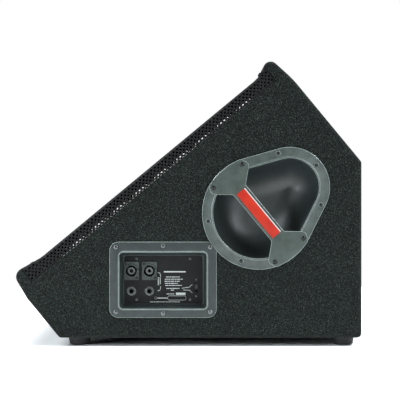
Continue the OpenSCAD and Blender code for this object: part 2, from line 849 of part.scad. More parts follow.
// the step at the dish's foot that the plate is screwed to
module dish_ledge() {
    difference() {
        union() {
            translate([0, -opening_drop, 0]) linear_extrude(ledge_t) difference() {
                polygon(rounded_box(plate_w + 3, plate_h + 3, opening_r));
                polygon(rounded_box(plate_w - 2 * ledge_side_w, plate_h - 2 * ledge_w, 2));
            }
            for (p = plate_screw_places)
                translate([p[0], p[1], 0]) cylinder(r = ledge_boss_r, h = ledge_t, $fn = 32);
        }
        holes(plate_screw_places, small_screw_r + hair, ledge_t);
    }
}

module connector_dish() {
    rim_z = dish_flange_t + 0.4;
    back_z = plate_top - plate_t - ledge_t;
    color("#4d5655") dish_frame() {
        loft([dish_ring(back_z, back_z, dish_wall), dish_ring(rim_z, back_z, dish_wall),
              dish_ring(rim_z, back_z, 0), dish_ring(back_z, back_z, 0)], loop = true);
        dish_flange();
        translate([0, 0, back_z]) dish_ledge();
    }
}

module dish_screws() {
    color("silver") dish_frame() for (p = dish_screw_places)
        translate([p[0], p[1], dish_flange_t]) screw(4, 2.2, wood_screw_r, 16);
}

module connector_plate() {
    color("#1e2021") dish_frame() translate([0, 0, plate_top - plate_t]) difference() {
        translate([0, -opening_drop, 0]) linear_extrude(plate_t)
            polygon(rounded_box(plate_w, plate_h, opening_r - 1));
        for (p = socket_places)
            translate([p[0], p[1], -past]) cylinder(r = socket_body_r + slip, h = plate_t + 2 * past);
        for (p = jack_places)
            translate([p[0], p[1], -past]) cylinder(r = jack_thread_r + hair, h = plate_t + 2 * past);
        holes(plate_screw_places, small_screw_r + slip, plate_t);
        holes(selector_screw_places, tiny_screw_r + hair, plate_t);
        holes([for (p = socket_places, d = socket_screw_offsets) p + d], tiny_screw_r + hair, plate_t);
        translate([selector_at[0] - 3, selector_at[1] - 7, -past]) cube([6, 14, plate_t + 2 * past]);
    }
}

module plate_screws() {
    color("silver") dish_frame() translate([0, 0, plate_top]) {
        for (p = plate_screw_places)
            translate([p[0], p[1], 0]) screw(2.6, 1.4, small_screw_r, 6);
        for (p = selector_screw_places)
            translate([p[0], p[1], 0]) screw(1.9, 1, tiny_screw_r, 5);
    }
}

module speaker_socket_shells() {
    face_t = 3;
    collar = 2;
    floor_t = 3;
    color("#5b6362") dish_frame() translate([0, 0, plate_top]) for (p = socket_places)
        translate([p[0], p[1], 0]) difference() {
            union() {
                linear_extrude(face_t) polygon(rounded_box(25.6, 30.8, 2.5));
                cylinder(r = 11.6, h = face_t + collar);
                translate([0, 0, -socket_depth]) cylinder(r = socket_body_r, h = socket_depth + hair);
            }
            translate([0, 0, -socket_depth + floor_t]) cylinder(r = socket_cavity_r, h = 60);
            holes(socket_screw_offsets, tiny_screw_r + hair, face_t);
            // four keyways round the collar
            for (a = [0 : 90 : 270])
                rotate([0, 0, a + 20]) translate([socket_cavity_r - 0.5, -1.2, -10]) cube([1.4, 2.4, 20]);
        }
}

module speaker_socket_cores() {
    floor_t = 3;
    color("#3c4444") dish_frame() translate([0, 0, plate_top - socket_depth + floor_t])
    for (p = socket_places)
        translate([p[0], p[1], 0]) difference() {
            cylinder(r = core_r, h = 26);
            translate([0, 0, 8]) cylinder(r = core_hole_r, h = 30);
        }
}

module speaker_socket_screws() {
    color("#1a1a1a") dish_frame() translate([0, 0, plate_top + 3])
        for (p = socket_places, d = socket_screw_offsets)
            translate([p[0] + d[0], p[1] + d[1], 0]) screw(1.9, 1.2, tiny_screw_r, 7);
}

module jack_bodies() {
    color("#232526") dish_frame() translate([0, 0, plate_top]) for (p = jack_places)
        translate([p[0], p[1], 0]) difference() {
            union() {
                translate([0, 0, -plate_t - past]) cylinder(r = jack_thread_r, h = plate_t + past + 3.4);
                translate([-8, -8, -plate_t - 28]) cube([16, 16, 28]);
            }
            translate([0, 0, -plate_t - 26]) cylinder(r = jack_bore_r, h = 60);
        }
}

module jack_nuts() {
    color("#8d9494") dish_frame() translate([0, 0, plate_top]) for (p = jack_places)
        translate([p[0], p[1], 0]) {
            ring(7.8, jack_thread_r + hair, 0.8);
            translate([0, 0, 0.8]) ring(6.6, jack_thread_r + hair, 2);
        }
}

module selector_body() {
    deep = 9;
    color("#9aa0a3") dish_frame() translate(concat(selector_at, plate_top - plate_t - deep)) difference() {
        translate([-4.6, -18.5, 0]) cube([9.2, 37, 9]);
        translate([-3.3, -8, 2]) cube([6.6, 16, 9]);
        for (y = [-1, 1])
            translate([0, y * selector_screw_y, 4]) cylinder(r = tiny_screw_r + hair, h = 9, $fn = 24);
    }
}

module selector_slider() {
    color("#111111") dish_frame()
    translate([selector_at[0], selector_at[1] + selector_travel / 2, plate_top - plate_t]) {
        translate([-2.9, -4.6, -5]) cube([5.8, 9.2, 4.6]);
        translate([-2.6, -3.2, -0.5]) cube([5.2, 6.4, plate_t + 3.2]);
    }
}

// ---- handles ----

bar_w = 26.6;            // the bar crosses the large lobe's middle
bar_back = -14;
wing_t = 2;
wing_seat = [90, 80];
label_size = [18.4, 95, 0.8];

module handle_frame() {
    side_frame(handle_at[0], handle_at[1], tilt) children();
}

// the bowl's ring at depth z, grown outwards by grow
function bowl_ring(z, grow) =
    let (t = max(0, -z / cup_depth),
         draw_in = 36 * (1 - sqrt(1 - pow(t * 0.999, 2.4))))
    at_height(lobes(handle_r - flange_w - draw_in + grow, handle_small_r - flange_w - draw_in + grow), z);

module handle_cup() {
    rim = 0.4;
    depths = [for (t = [0, 0.25, 0.45, 0.6, 0.72, 0.82, 0.9, 0.96, 1]) -t * cup_depth];
    last = len(depths) - 1;
    difference() {
        union() {
            loft(concat(
                [for (k = [last : -1 : 1])
                    at_height(bowl_ring(depths[k], cup_wall), depths[k] - cup_wall * k / last)],
                [bowl_ring(0, cup_wall), at_height(bowl_ring(0, cup_wall), flange_t + rim)],
                [at_height(bowl_ring(0, 0), flange_t + rim)],
                [for (k = [0 : last]) bowl_ring(depths[k], 0)]));
            linear_extrude(flange_t) difference() {
                polygon(lobes(handle_r, handle_small_r, 32));
                polygon(lobes(handle_r - flange_w + 1.5, handle_small_r - flange_w + 1.5));
            }
        }
        holes(concat(wing_screws, flange_screws), wood_screw_r + slip, flange_t);
        // the wings lie over the rim, so the bead stops there
        for (side = [-1, 1])
            translate([-wing_seat[0] / 2, side * 85 - wing_seat[1] / 2, flange_t])
                cube([wing_seat[0], wing_seat[1], 2]);
    }
}

module handle_cup_left() {
    color("#4d5655") handle_frame() handle_cup();
}

module handle_cup_right() {
    color("#4d5655") mirror([0, 1, 0]) handle_frame() handle_cup();
}

// half of the wing at +v, about the bar's middle
function wing_outline() = rounded([
    [[-bar_w / 2, 44], 0], [[bar_w / 2, 44], 0], [[bar_w / 2, 50], 6],
    [[41, 74], 8], [[35, 89], 9], [[13.5, 93.3], 70], [[-13.5, 93.3], 70],
    [[-35, 89], 9], [[-41, 74], 8], [[-bar_w / 2, 50], 6]]);

module handle_bar() {
    grip_half = 74;
    difference() {
        union() {
            rotate([90, 0, 0]) linear_extrude(2 * grip_half, center = true)
                polygon(rounded([[[-bar_w / 2, flange_t + wing_t], 2.5], [[-bar_w / 2 + 3, bar_back], 7],
                                 [[bar_w / 2 - 3, bar_back], 7], [[bar_w / 2, flange_t + wing_t], 2.5]], 6));
            for (side = [0, 180])
                translate([0, 0, flange_t]) rotate([0, 0, side])
                    linear_extrude(wing_t) polygon(wing_outline());
        }
        holes(wing_screws, wood_screw_r + slip, flange_t + wing_t);
        translate([-label_size[0] / 2 - hair, -label_size[1] / 2 - hair, flange_t + wing_t - 1])
            cube([label_size[0] + 2 * hair, label_size[1] + 2 * hair, 4]);
        translate([0, 55.2, flange_t + wing_t - 1.4]) cylinder(r = 1.6, h = 4, $fn = 24);
    }
}

module handle_bar_left() {
    color("#565f5c") handle_frame() handle_bar();
}

module handle_bar_right() {
    color("#565f5c") mirror([0, 1, 0]) handle_frame() handle_bar();
}

module handle_labels() {
    color("#e0402c") both_sides() handle_frame()
        translate([-label_size[0] / 2, -label_size[1] / 2, flange_t + wing_t - 1]) cube(label_size);
}

module handle_screws() {
    color("#2a2c2c") both_sides() handle_frame() {
        for (p = wing_screws)
            translate([p[0], p[1], flange_t + wing_t - 1.6])
                screw(wood_screw_r + 0.2, 1.5, wood_screw_r, 14);
        for (p = flange_screws)
            translate([p[0], p[1], flange_t]) screw(3.4, 1.5, wood_screw_r, 15);
    }
}

// ---- feet ----

module rubber_feet() {
    sink_r = 7;
    sink = 6;
    color("#161616") for (p = foot_places)
        translate([p[0], p[1], 0]) rotate_extrude($fn = 64) polygon(concat(
            [[foot_shank_r + hair, foot_h], [foot_shank_r + hair, sink], [sink_r, sink], [sink_r, 0]],
            [for (a = [-90 : 15 : 0]) [foot_r - 1.5 - 4 + 4 * cos(a), 4 + 4 * sin(a)]],
            [[foot_r, foot_h - 1.5], [foot_r, foot_h]]));
}

module foot_screws() {
    color("silver") for (p = foot_places)
        translate([p[0], p[1], 6]) mirror([0, 0, 1]) screw(5.5, 3, foot_shank_r, foot_screw_l);
}

side_panel_left();
side_panel_right();
bottom_panel();
back_panel();
rear_slope_panel();
kick_panel();
baffle();
internal_battens();
carpet_side_left();
carpet_side_right();
carpet_wrap();
grille();
grille_rails();
grille_screws();
woofer_basket();
woofer_gasket();
woofer_surround();
woofer_spider();
woofer_cone();
woofer_dust_cap();
woofer_voice_coil();
woofer_top_plate();
woofer_magnet();
woofer_pole_piece();
woofer_bolts();
woofer_terminals();
horn_flare();
horn_screws();
horn_driver_plate();
horn_diaphragm();
horn_driver_magnet();
horn_driver_cover();
port_tubes();
crossover_board();
crossover_standoffs();
crossover_inductors();
crossover_capacitors();
crossover_resistors();
wiring_harness();
damping_wadding();
connector_dish();
dish_screws();
connector_plate();
plate_screws();
speaker_socket_shells();
speaker_socket_cores();
speaker_socket_screws();
jack_bodies();
jack_nuts();
selector_body();
selector_slider();
handle_cup_left();
handle_cup_right();
handle_bar_left();
handle_bar_right();
handle_labels();
handle_screws();
rubber_feet();
foot_screws();
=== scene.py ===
import math

import bmesh
import bpy
import numpy as np
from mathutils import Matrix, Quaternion, Vector, geometry, noise


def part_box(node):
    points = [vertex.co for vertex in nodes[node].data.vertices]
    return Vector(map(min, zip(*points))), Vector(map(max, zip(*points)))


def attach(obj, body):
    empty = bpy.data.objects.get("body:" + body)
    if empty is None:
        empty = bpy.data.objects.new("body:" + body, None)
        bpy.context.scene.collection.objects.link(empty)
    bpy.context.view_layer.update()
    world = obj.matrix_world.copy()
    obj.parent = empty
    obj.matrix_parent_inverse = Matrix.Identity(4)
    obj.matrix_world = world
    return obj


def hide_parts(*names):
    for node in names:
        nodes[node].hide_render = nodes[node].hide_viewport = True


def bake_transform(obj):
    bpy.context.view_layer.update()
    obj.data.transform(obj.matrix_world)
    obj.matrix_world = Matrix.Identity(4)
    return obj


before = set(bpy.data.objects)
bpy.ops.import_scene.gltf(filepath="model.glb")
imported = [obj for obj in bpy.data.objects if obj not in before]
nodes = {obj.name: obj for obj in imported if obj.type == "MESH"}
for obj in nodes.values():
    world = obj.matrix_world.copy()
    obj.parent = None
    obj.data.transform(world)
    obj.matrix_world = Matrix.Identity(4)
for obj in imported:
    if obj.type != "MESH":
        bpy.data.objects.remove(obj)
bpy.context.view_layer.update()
scene = bpy.context.scene

# ---- Sizes, in millimetres, as the frame has them ----

MM = 0.001
ROOT = "cabinet"
SIDES = {"left": -1, "right": 1}

TILT = math.radians(39.6)
GRILLE_FOOT = (-215.5, 175.0)      # X and Z where s = 0 and h = 0
FOOT_H = 14
BOARD = 18
CARPET = 3
KICK_S = -103.5
REAR_S = 474.7
EAR_WALL = BOARD + 2 * CARPET
LOW_EAR_S = KICK_S + EAR_WALL
HIGH_EAR_S = REAR_S - EAR_WALL
LOW_BEND_S = -40.6
HIGH_BEND_S = 428.3
LOW_BEND_SLOPE = math.tan(math.radians(10))
HIGH_BEND_SLOPE = math.tan(math.radians(22.8))
NOSE_H = -38
NOSE_TAPER = 8
LOW_NOSE_R = 15
HIGH_NOSE_R = 12.5
BAFFLE_H = -24
LIP_DEPTH = 22
EDGE_R = 8
HALF_WIDTH = -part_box("carpet_side_left")[0].y / MM
HALF_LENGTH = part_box("carpet_wrap")[1].x / MM

HANDLE_AT = (116.9, 223.2)
HANDLE_R = 94.6
HANDLE_SMALL_R = 67.2
HANDLE_SPAN = 67.8
FLANGE_W = 18.5
FLANGE_T = 2
CUP_DEPTH = 72
CUP_WALL = 3
BAR_W = 26.6
BAR_BACK = -14
WING_T = 2
WING_SCREWS = [(x, y) for x in (-31, 31) for y in (-80.4, 80.4)]
FLANGE_SCREWS = [(89, 56), (89, -56), (125.5, 0), (-73.8, 43), (-73.8, -43)]

DISH_AT = (-43, 111.6)
DISH_SIZE = (179.5, 127)
OPENING = (146, 94)
OPENING_DROP = 1.4       # the opening sits this far below the flange's middle
DISH_DEPTH = 25
DISH_DRAFT = 5
DISH_FLANGE_T = 1.6
MARKS_SHIFT = (-0.9, -1.6)
DISH_SCREWS = [(x, y * (56.6 if x == 0 else 54.2)) for x in (-79, 0, 79) for y in (-1, 1)]
HANDLE_HEAD = (3.2, 1.5)  # radius and height of a screw head
DISH_HEAD = (4.1, 2.4)


# ---- Plane geometry ----

def on_slope(s, h):
    """X and Z of a point s up the grille and h out of it."""
    return (GRILLE_FOOT[0] + s * math.cos(TILT) - h * math.sin(TILT),
            GRILLE_FOOT[1] + s * math.sin(TILT) + h * math.cos(TILT))


def h_at_z(s, z):
    return (z - GRILLE_FOOT[1] - s * math.sin(TILT)) / math.cos(TILT)


def h_at_x(s, x):
    return (GRILLE_FOOT[0] + s * math.cos(TILT) - x) / math.sin(TILT)


def arc(centre, r, start, sweep, steps):
    """Points round part of a circle, both ends included."""
    angles = [start + sweep * i / steps for i in range(steps + 1)]
    return [(centre[0] + r * math.cos(a), centre[1] + r * math.sin(a)) for a in angles]


def between(p, q, share):
    """The point that lies that share of the way from p to q."""
    return p[0] + (q[0] - p[0]) * share, p[1] + (q[1] - p[1]) * share


def corner_arc(before, corner, after, r, steps):
    """Points of the arc that rounds a corner."""
    if r <= 0:
        return [tuple(corner)]
    corner = Vector(corner)
    to_p = (Vector(before) - corner).normalized()
    to_q = (Vector(after) - corner).normalized()
    half = to_p.angle(to_q) / 2
    centre = corner + (to_p + to_q).normalized() * r / math.sin(half)
    first = corner + to_p * r / math.tan(half) - centre
    last = corner + to_q * r / math.tan(half) - centre
    start = math.atan2(first.y, first.x)
    sweep = (math.atan2(last.y, last.x) - start + math.pi) % (2 * math.pi) - math.pi
    return arc(centre, r, start, sweep, steps)


def rounded(corners, steps=8):
    """A closed outline from corners of the form ((x, y), radius)."""
    outline = []
    for i, (corner, r) in enumerate(corners):
        outline += corner_arc(corners[i - 1][0], corner, corners[(i + 1) % len(corners)][0], r, steps)
    return outline


def rounded_box(w, h, r, steps=8):
    return rounded([((x * w / 2, y * h / 2), r) for x, y in ((-1, -1), (1, -1), (1, 1), (-1, 1))], steps)


def rectangle(left, right, half):
    return [(left, -half), (right, -half), (right, half), (left, half)]


def circle(r, count):
    return arc((0, 0), r, 0, 2 * math.pi, count)[:-1]


def area(loop):
    """The area in a closed loop, positive where it runs anticlockwise."""
    return sum(p[0] * q[1] - q[0] * p[1] for p, q in zip(loop, loop[1:] + loop[:1])) / 2


def shrunk(loop, amounts):
    """A closed anticlockwise loop moved inwards, by one amount or by one for each point."""
    if not hasattr(amounts, "__len__"):
        amounts = [amounts] * len(loop)
    moved = []
    for i, (x, y) in enumerate(loop):
        before = Vector((x, y)) - Vector(loop[i - 1])
        after = Vector(loop[(i + 1) % len(loop)]) - Vector((x, y))
        n1 = Vector((-before.y, before.x)).normalized()
        n2 = Vector((-after.y, after.x)).normalized()
        mitre = (n1 + n2) / max(1 + n1.dot(n2), 0.4)
        moved.append((x + mitre.x * amounts[i], y + mitre.y * amounts[i]))
    return moved


def resampled(path, step, closed=True):
    """The same path with its long stretches divided, so that no two points are further apart."""
    out = []
    ends = path[1:] + path[:1] if closed else path[1:]
    for p, q in zip(path, ends):
        count = max(1, math.ceil(math.dist(p, q) / step))
        out += [between(p, q, i / count) for i in range(count)]
    return out if closed else out + [path[-1]]


def inside(points, loop):
    """Which of the points, as an array, lie inside a closed loop."""
    x, y = points[:, 0], points[:, 1]
    found = np.zeros(len(points), bool)
    for (x1, y1), (x2, y2) in zip(loop, loop[1:] + loop[:1]):
        if y1 == y2:
            continue
        crosses = ((y1 > y) != (y2 > y)) & (x < (x2 - x1) * (y - y1) / (y2 - y1) + x1)
        found ^= crosses
    return found


def lower_nose(inset):
    ear = LOW_EAR_S - inset
    tip = KICK_S + NOSE_TAPER + inset
    return [(on_slope(ear, (LOW_BEND_S - ear) * LOW_BEND_SLOPE - inset), 0),
            (on_slope(tip, (LOW_BEND_S - tip) * LOW_BEND_SLOPE - inset), LOW_NOSE_R - 2 * inset),
            (on_slope(KICK_S + inset, NOSE_H), 60)]


def upper_nose(inset):
    ear = HIGH_EAR_S + inset
    tip = REAR_S - NOSE_TAPER - inset
    return [(on_slope(REAR_S - inset, NOSE_H), 200),
            (on_slope(tip, (tip - HIGH_BEND_S) * HIGH_BEND_SLOPE - inset), HIGH_NOSE_R - 2 * inset),
            (on_slope(ear, (ear - HIGH_BEND_S) * HIGH_BEND_SLOPE - inset), 0)]


def cabinet_corners(inset, notch_h):
    """The cabinet's side view from the foot of the lower nose round the back to the upper one."""
    low = KICK_S + inset
    high = REAR_S - inset
    base = FOOT_H + inset
    back = HALF_LENGTH - inset
    return ([(on_slope(LOW_EAR_S - inset, notch_h), 0)] + lower_nose(inset)
            + [(on_slope(low, h_at_z(low, base)), EDGE_R - inset),
               ((back, base), EDGE_R - inset),
               (on_slope(high, h_at_x(high, back)), EDGE_R - inset)]
            + upper_nose(inset) + [(on_slope(HIGH_EAR_S + inset, notch_h), 0)])


def lobes(big, small, span=HANDLE_SPAN, steps=48):
    """The handle's outline: two round lobes joined by tangents."""
    lean = math.acos((big - small) / span)
    return (arc((0, 0), big, lean, 2 * math.pi - 2 * lean, 2 * steps)
            + arc((span, 0), small, -lean, 2 * lean, steps))


# ---- Solid geometry: a shape is a list of points in mm and a list of faces ----

def at(loop, z):
    return [(p[0], p[1], z) for p in loop]


def band(here, there):
    """Faces between two closed rings of point numbers."""
    n = len(here)
    return [(here[i], here[(i + 1) % n], there[(i + 1) % n], there[i]) for i in range(n)]


def grid_faces(rows, columns, start=0):
    """Faces over a grid of points that are numbered row by row."""
    n = columns + 1
    corners = [start + j * n + k for j in range(rows) for k in range(columns)]
    return [(c, c + 1, c + n + 1, c + n) for c in corners]


def loft(rings, loop=False):
    """A skin through rings that all have the same count, closed into a loop or capped at its ends."""
    n = len(rings[0])
    points = [p for ring in rings for p in ring]
    faces = []
    for r in range(len(rings) - (0 if loop else 1)):
        there = (r + 1) % len(rings) * n
        faces += band(range(r * n, r * n + n), range(there, there + n))
    if not loop:
        faces.append(tuple(reversed(range(n))))
        faces.append(tuple(range(len(points) - n, len(points))))
    return points, faces


def lathe(profile, count=48):
    """A profile of (r, z) turned about the z axis."""
    return loft([at(circle(max(r, 0.01), count), z) for r, z in profile])


def rounding(size, z, steps=4):
    """(inset, z) pairs over a rounded upper edge."""
    return [(size * (1 - math.cos(a)), z - size + size * math.sin(a))
            for a in (math.pi / 2 * i / steps for i in range(steps + 1))]


def slab(outline, bottom, top, edge, steps):
    """A plate with that outline and a rounded upper edge."""
    rings = [at(outline, bottom)]
    rings += [at(shrunk(outline, d), z) for d, z in rounding(edge, top, steps)]
    return loft(rings)


def moved(shape, place):
    return [place(*p) for p in shape[0]], shape[1]


def shifted(shape, x, y, z=0):
    return moved(shape, lambda a, b, c: (a + x, b + y, c + z))


def merged(shapes):
    points, faces = [], []
    for more_points, more_faces in shapes:
        start = len(points)
        points += more_points
        faces += [tuple(i + start for i in f) for f in more_faces]
    return points, faces


def shown(name, data):
    """A new object in the scene."""
    obj = bpy.data.objects.new(name, data)
    scene.collection.objects.link(obj)
    return obj


def mesh_object(name, shape, scale=MM):
    mesh = bpy.data.meshes.new(name)
    mesh.from_pydata([(x * scale, y * scale, z * scale) for x, y, z in shape[0]], [], shape[1])
    bm = bmesh.new()
    bm.from_mesh(mesh)
    bmesh.ops.recalc_face_normals(bm, faces=bm.faces)
    bm.to_mesh(mesh)
    bm.free()
    return shown(name, mesh)


def shape_of(obj):
    """The points and faces of an object with its modifiers applied, after which it is removed."""
    result = obj.evaluated_get(bpy.context.evaluated_depsgraph_get())
    mesh = result.to_mesh()
    shape = [tuple(v.co) for v in mesh.vertices], [tuple(p.vertices) for p in mesh.polygons]
    result.to_mesh_clear()
    bpy.data.objects.remove(obj)
    return shape


def cut(shape, cutters):
    """The shape with the cutters taken away."""
    body = mesh_object("cut_body", shape, 1)
    tool = mesh_object("cut_tool", merged(cutters), 1)
    step = body.modifiers.new("cut", "BOOLEAN")
    step.operation = "DIFFERENCE"
    step.solver = "EXACT"
    step.object = tool
    result = shape_of(body)
    bpy.data.objects.remove(tool)
    return result


def piece(name, shape, look, stands_for=(), sharp=35, body=ROOT):
    """A finished object: shaded, painted with its look and riding on its body when one is given."""
    obj = mesh_object(name, shape)
    obj.data.materials.append(looks[look])
    obj.data.shade_smooth()
    obj.data.set_sharp_from_angle(angle=math.radians(sharp))
    if body:
        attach(obj, body)
    if stands_for:
        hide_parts(*stands_for)
    return obj


def side_place(centre, turn, side):
    """Takes a point on a side's carpet (across, up, out) to the row frame."""
    c, s = math.cos(turn), math.sin(turn)
    x, z = centre
    return lambda a, b, out: (x + a * c - b * s, side * (HALF_WIDTH + out), z + a * s + b * c)


def slope_place(s0, h0):
    """Takes a point on the grille's slope (up, across, out) to the row frame."""
    def place(a, b, out):
        x, z = on_slope(s0 + a, h0 + out)
        return x, b, z
    return place


# ---- Materials ----

def grey(value):
    return (value, value, value, 1)


def tint(r, g, b):
    """An sRGB colour of 0 to 255 as linear values."""
    shares = (r / 255, g / 255, b / 255)
    return (*(((c + 0.055) / 1.055) ** 2.4 if c > 10 / 255 else c / 12.92 for c in shares), 1)


class Look:
    """A material: one Principled shader and the nodes that give it detail."""

    def __init__(self, name, **values):
        self.material = bpy.data.materials.new(name)
        self.material.use_nodes = True
        self.tree = self.material.node_tree
        self.shader = self.tree.nodes["Principled BSDF"]
        self.coords = self.node("ShaderNodeTexCoord").outputs["Object"]
        for socket, value in values.items():
            self.shader.inputs[socket.replace("_", " ")].default_value = value

    def node(self, kind, inputs=(), **settings):
        node = self.tree.nodes.new(kind)
        for key, value in settings.items():
            setattr(node, key, value)
        for key, value in dict(inputs).items():
            if isinstance(value, bpy.types.NodeSocket):
                self.tree.links.new(value, node.inputs[key])
            else:
                node.inputs[key].default_value = value
        return node

    def noise(self, grain, detail=3.0, rough=0.55, stretch=(1, 1, 1)):
        """Noise whose grains are about that many millimetres."""
        coords = self.node("ShaderNodeMapping", {"Vector": self.coords, "Scale": stretch}).outputs[0]
        scale = 1 / (grain * MM)
        return self.node("ShaderNodeTexNoise", {
            "Vector": coords, "Scale": scale, "Detail": detail, "Roughness": rough}).outputs["Fac"]

    def cells(self, grain, feature="F1"):
        return self.node("ShaderNodeTexVoronoi", {"Vector": self.coords, "Scale": 1 / (grain * MM)},
                         feature=feature).outputs["Distance"]

    def waves(self, width, direction):
        return self.node("ShaderNodeTexWave", {"Vector": self.coords, "Scale": 0.3 / (width * MM)},
                         bands_direction=direction).outputs["Fac"]

    def spread(self, value, low, high, to_low=0.0, to_high=1.0):
        return self.node("ShaderNodeMapRange", {
            "Value": value, "From Min": low, "From Max": high,
            "To Min": to_low, "To Max": to_high}).outputs[0]

    def maths(self, operation, a, b):
        return self.node("ShaderNodeMath", {0: a, 1: b}, operation=operation).outputs[0]

    def blended(self, a, b, share):
        """A mix of two values, with that share of the first."""
        return self.maths("ADD", self.maths("MULTIPLY", a, share), self.maths("MULTIPLY", b, 1 - share))

    def colours(self, value, *stops):
        """A colour that runs through (position, colour) stops."""
        ramp = self.node("ShaderNodeValToRGB", {"Fac": value})
        elements = ramp.color_ramp.elements
        while len(elements) < len(stops):
            elements.new(0.5)
        for element, (position, colour) in zip(elements, stops):
            element.position = position
            element.color = colour
        return ramp.outputs["Color"]

    def tones(self, value, low, high, dark, light):
        """A colour that runs between two tones, given as sRGB, from low to high."""
        return self.colours(value, (low, tint(*dark)), (high, tint(*light)))

    def bump(self, height, depth, strength=1.0, over=None):
        """Adds relief of that many millimetres."""
        inputs = {"Height": height, "Distance": depth * MM, "Strength": strength}
        if over is not None:
            inputs["Normal"] = over
        return self.node("ShaderNodeBump", inputs).outputs["Normal"]

    def finished(self, colour, normal, roughness=None):
        """Feeds the shader and hands over the material."""
        for socket, output in (("Base Color", colour), ("Normal", normal), ("Roughness", roughness)):
            if output is not None:
                self.tree.links.new(output, self.shader.inputs[socket])
        return self.material


def darker(colour, share):
    """A colour with its light cut to that share."""
    return tuple(c * share for c in colour[:3]) + (1,)


def moulded_look(name, dark, light, roughness, grain, relief, specular=0.5):
    """Moulded plastic with a fine grain, blotches and scuffs."""
    look = Look(name, Roughness=roughness, Specular_IOR_Level=specular)
    fine = look.noise(grain, 4)
    scuff = look.noise(3, 6, 0.7, (1, 1, 4))
    tone = look.blended(fine, look.noise(14, 3), 0.55)
    return look.finished(look.tones(tone, 0.36, 0.64, dark, light),
                         look.bump(fine, relief),
                         look.spread(scuff, 0.35, 0.7, roughness - 0.08, roughness + 0.1))


def metal_look(name, colour, roughness):
    """Bare or plated metal with faint streaks and tarnish."""
    look = Look(name, Metallic=1.0, Roughness=roughness)
    streak = look.noise(0.6, 4, 0.6)
    stain = look.noise(6, 4)
    return look.finished(look.colours(stain, (0.3, darker(tint(*colour), 0.72)), (0.62, tint(*colour))),
                         look.bump(streak, 0.01),
                         look.spread(streak, 0.3, 0.7, roughness * 0.75, roughness * 1.3))


def carpet_look():
    """Needled carpet: short dark fibres with paler flecks between them."""
    look = Look("carpet_fibre", Roughness=0.95, Specular_IOR_Level=0.08, Sheen_Weight=0.03,
                Sheen_Roughness=0.6)
    fibre = look.noise(0.9, 3, 0.7)
    tuft = look.noise(2.3, 4, 0.8)
    base = look.colours(look.blended(fibre, tuft, 0.5), (0.38, tint(4, 5, 5)), (0.48, tint(11, 14, 13)),
                        (0.56, tint(32, 39, 36)), (0.64, tint(80, 90, 83)))
    lie = look.colours(look.noise(60, 2), (0.3, grey(0.82)), (0.7, grey(1.0)))
    shaded = look.node("ShaderNodeMix", {0: 1.0, 6: base, 7: lie}, data_type="RGBA", blend_type="MULTIPLY")
    return look.finished(shaded.outputs[2], look.bump(fibre, 0.5, 0.8, look.bump(tuft, 1.0, 0.7)))


def powder_look():
    """Black powder coat on steel."""
    look = Look("powder_coat", Roughness=0.5, Specular_IOR_Level=0.15)
    dust = look.noise(9, 5, 0.7)
    return look.finished(look.tones(dust, 0.35, 0.75, (7, 8, 8), (17, 18, 18)),
                         look.bump(look.noise(0.7, 2), 0.05), look.spread(dust, 0.3, 0.7, 0.42, 0.6))


def plywood_look():
    """Birch plywood with long grain."""
    look = Look("plywood", Roughness=0.6)
    grain = look.noise(3, 5, 0.6, (0.12, 1, 1))
    pores = look.noise(0.6, 2, 0.5, (0.08, 1, 1))
    dark = tint(176, 138, 92)
    return look.finished(look.colours(grain, (0.3, dark), (0.55, tint(214, 180, 134)), (0.75, dark)),
                         look.bump(pores, 0.08), look.spread(grain, 0.3, 0.7, 0.5, 0.72))


def painted_plywood_look():
    """The same board under rolled black paint."""
    look = Look("painted_plywood", Roughness=0.6)
    grain = look.noise(3, 5, 0.6, (0.12, 1, 1))
    roller = look.noise(1.6, 3)
    paint = tint(16, 17, 17)
    return look.finished(look.colours(roller, (0.35, paint), (0.7, darker(paint, 2))),
                         look.bump(roller, 0.15), look.spread(grain, 0.3, 0.7, 0.5, 0.72))


def paper_look():
    """Pressed paper cone with its pulp and a damping coat."""
    look = Look("cone_paper", Roughness=0.7)
    pulp = look.noise(1.3, 5, 0.7)
    return look.finished(look.tones(pulp, 0.3, 0.7, (22, 22, 23), (46, 46, 47)),
                         look.bump(pulp, 0.2), look.spread(look.noise(18, 3), 0.35, 0.65, 0.55, 0.8))


def rubber_look(name, dark, light, roughness):
    look = Look(name, Roughness=roughness)
    bloom = look.noise(8, 4, 0.65)
    return look.finished(look.tones(bloom, 0.3, 0.72, dark, light),
                         look.bump(look.noise(0.5, 3), 0.04),
                         look.spread(bloom, 0.3, 0.7, roughness - 0.1, roughness + 0.12))


def weave_look(name, dark, light, thread):
    """Woven or braided cloth."""
    look = Look(name, Roughness=0.85, Sheen_Weight=0.2)
    cloth = look.maths("MULTIPLY", look.waves(thread, "X"), look.waves(thread, "Y"))
    return look.finished(look.tones(cloth, 0.1, 0.8, dark, light),
                         look.bump(cloth, 0.25))


def winding_look():
    """Lacquered copper wire, wound in fine turns."""
    look = Look("copper_winding", Metallic=0.9, Roughness=0.3)
    return look.finished(look.tones(look.noise(5, 3), 0.3, 0.7, (150, 78, 38), (206, 122, 66)),
                         look.bump(look.waves(0.8, "Z"), 0.3))


def ferrite_look():
    look = Look("ferrite", Roughness=0.5)
    return look.finished(look.tones(look.noise(10, 4), 0.3, 0.7, (38, 38, 40), (62, 62, 64)),
                         look.bump(look.cells(1.4), 0.12))


def board_look():
    """Solder mask over fibreglass, with the tracks as faint relief."""
    look = Look("circuit_board", Roughness=0.35)
    step = look.spread(look.cells(9, "DISTANCE_TO_EDGE"), 0.05, 0.09)
    return look.finished(look.tones(step, 0.0, 1.0, (24, 92, 58), (16, 62, 42)),
                         look.bump(step, 0.06))


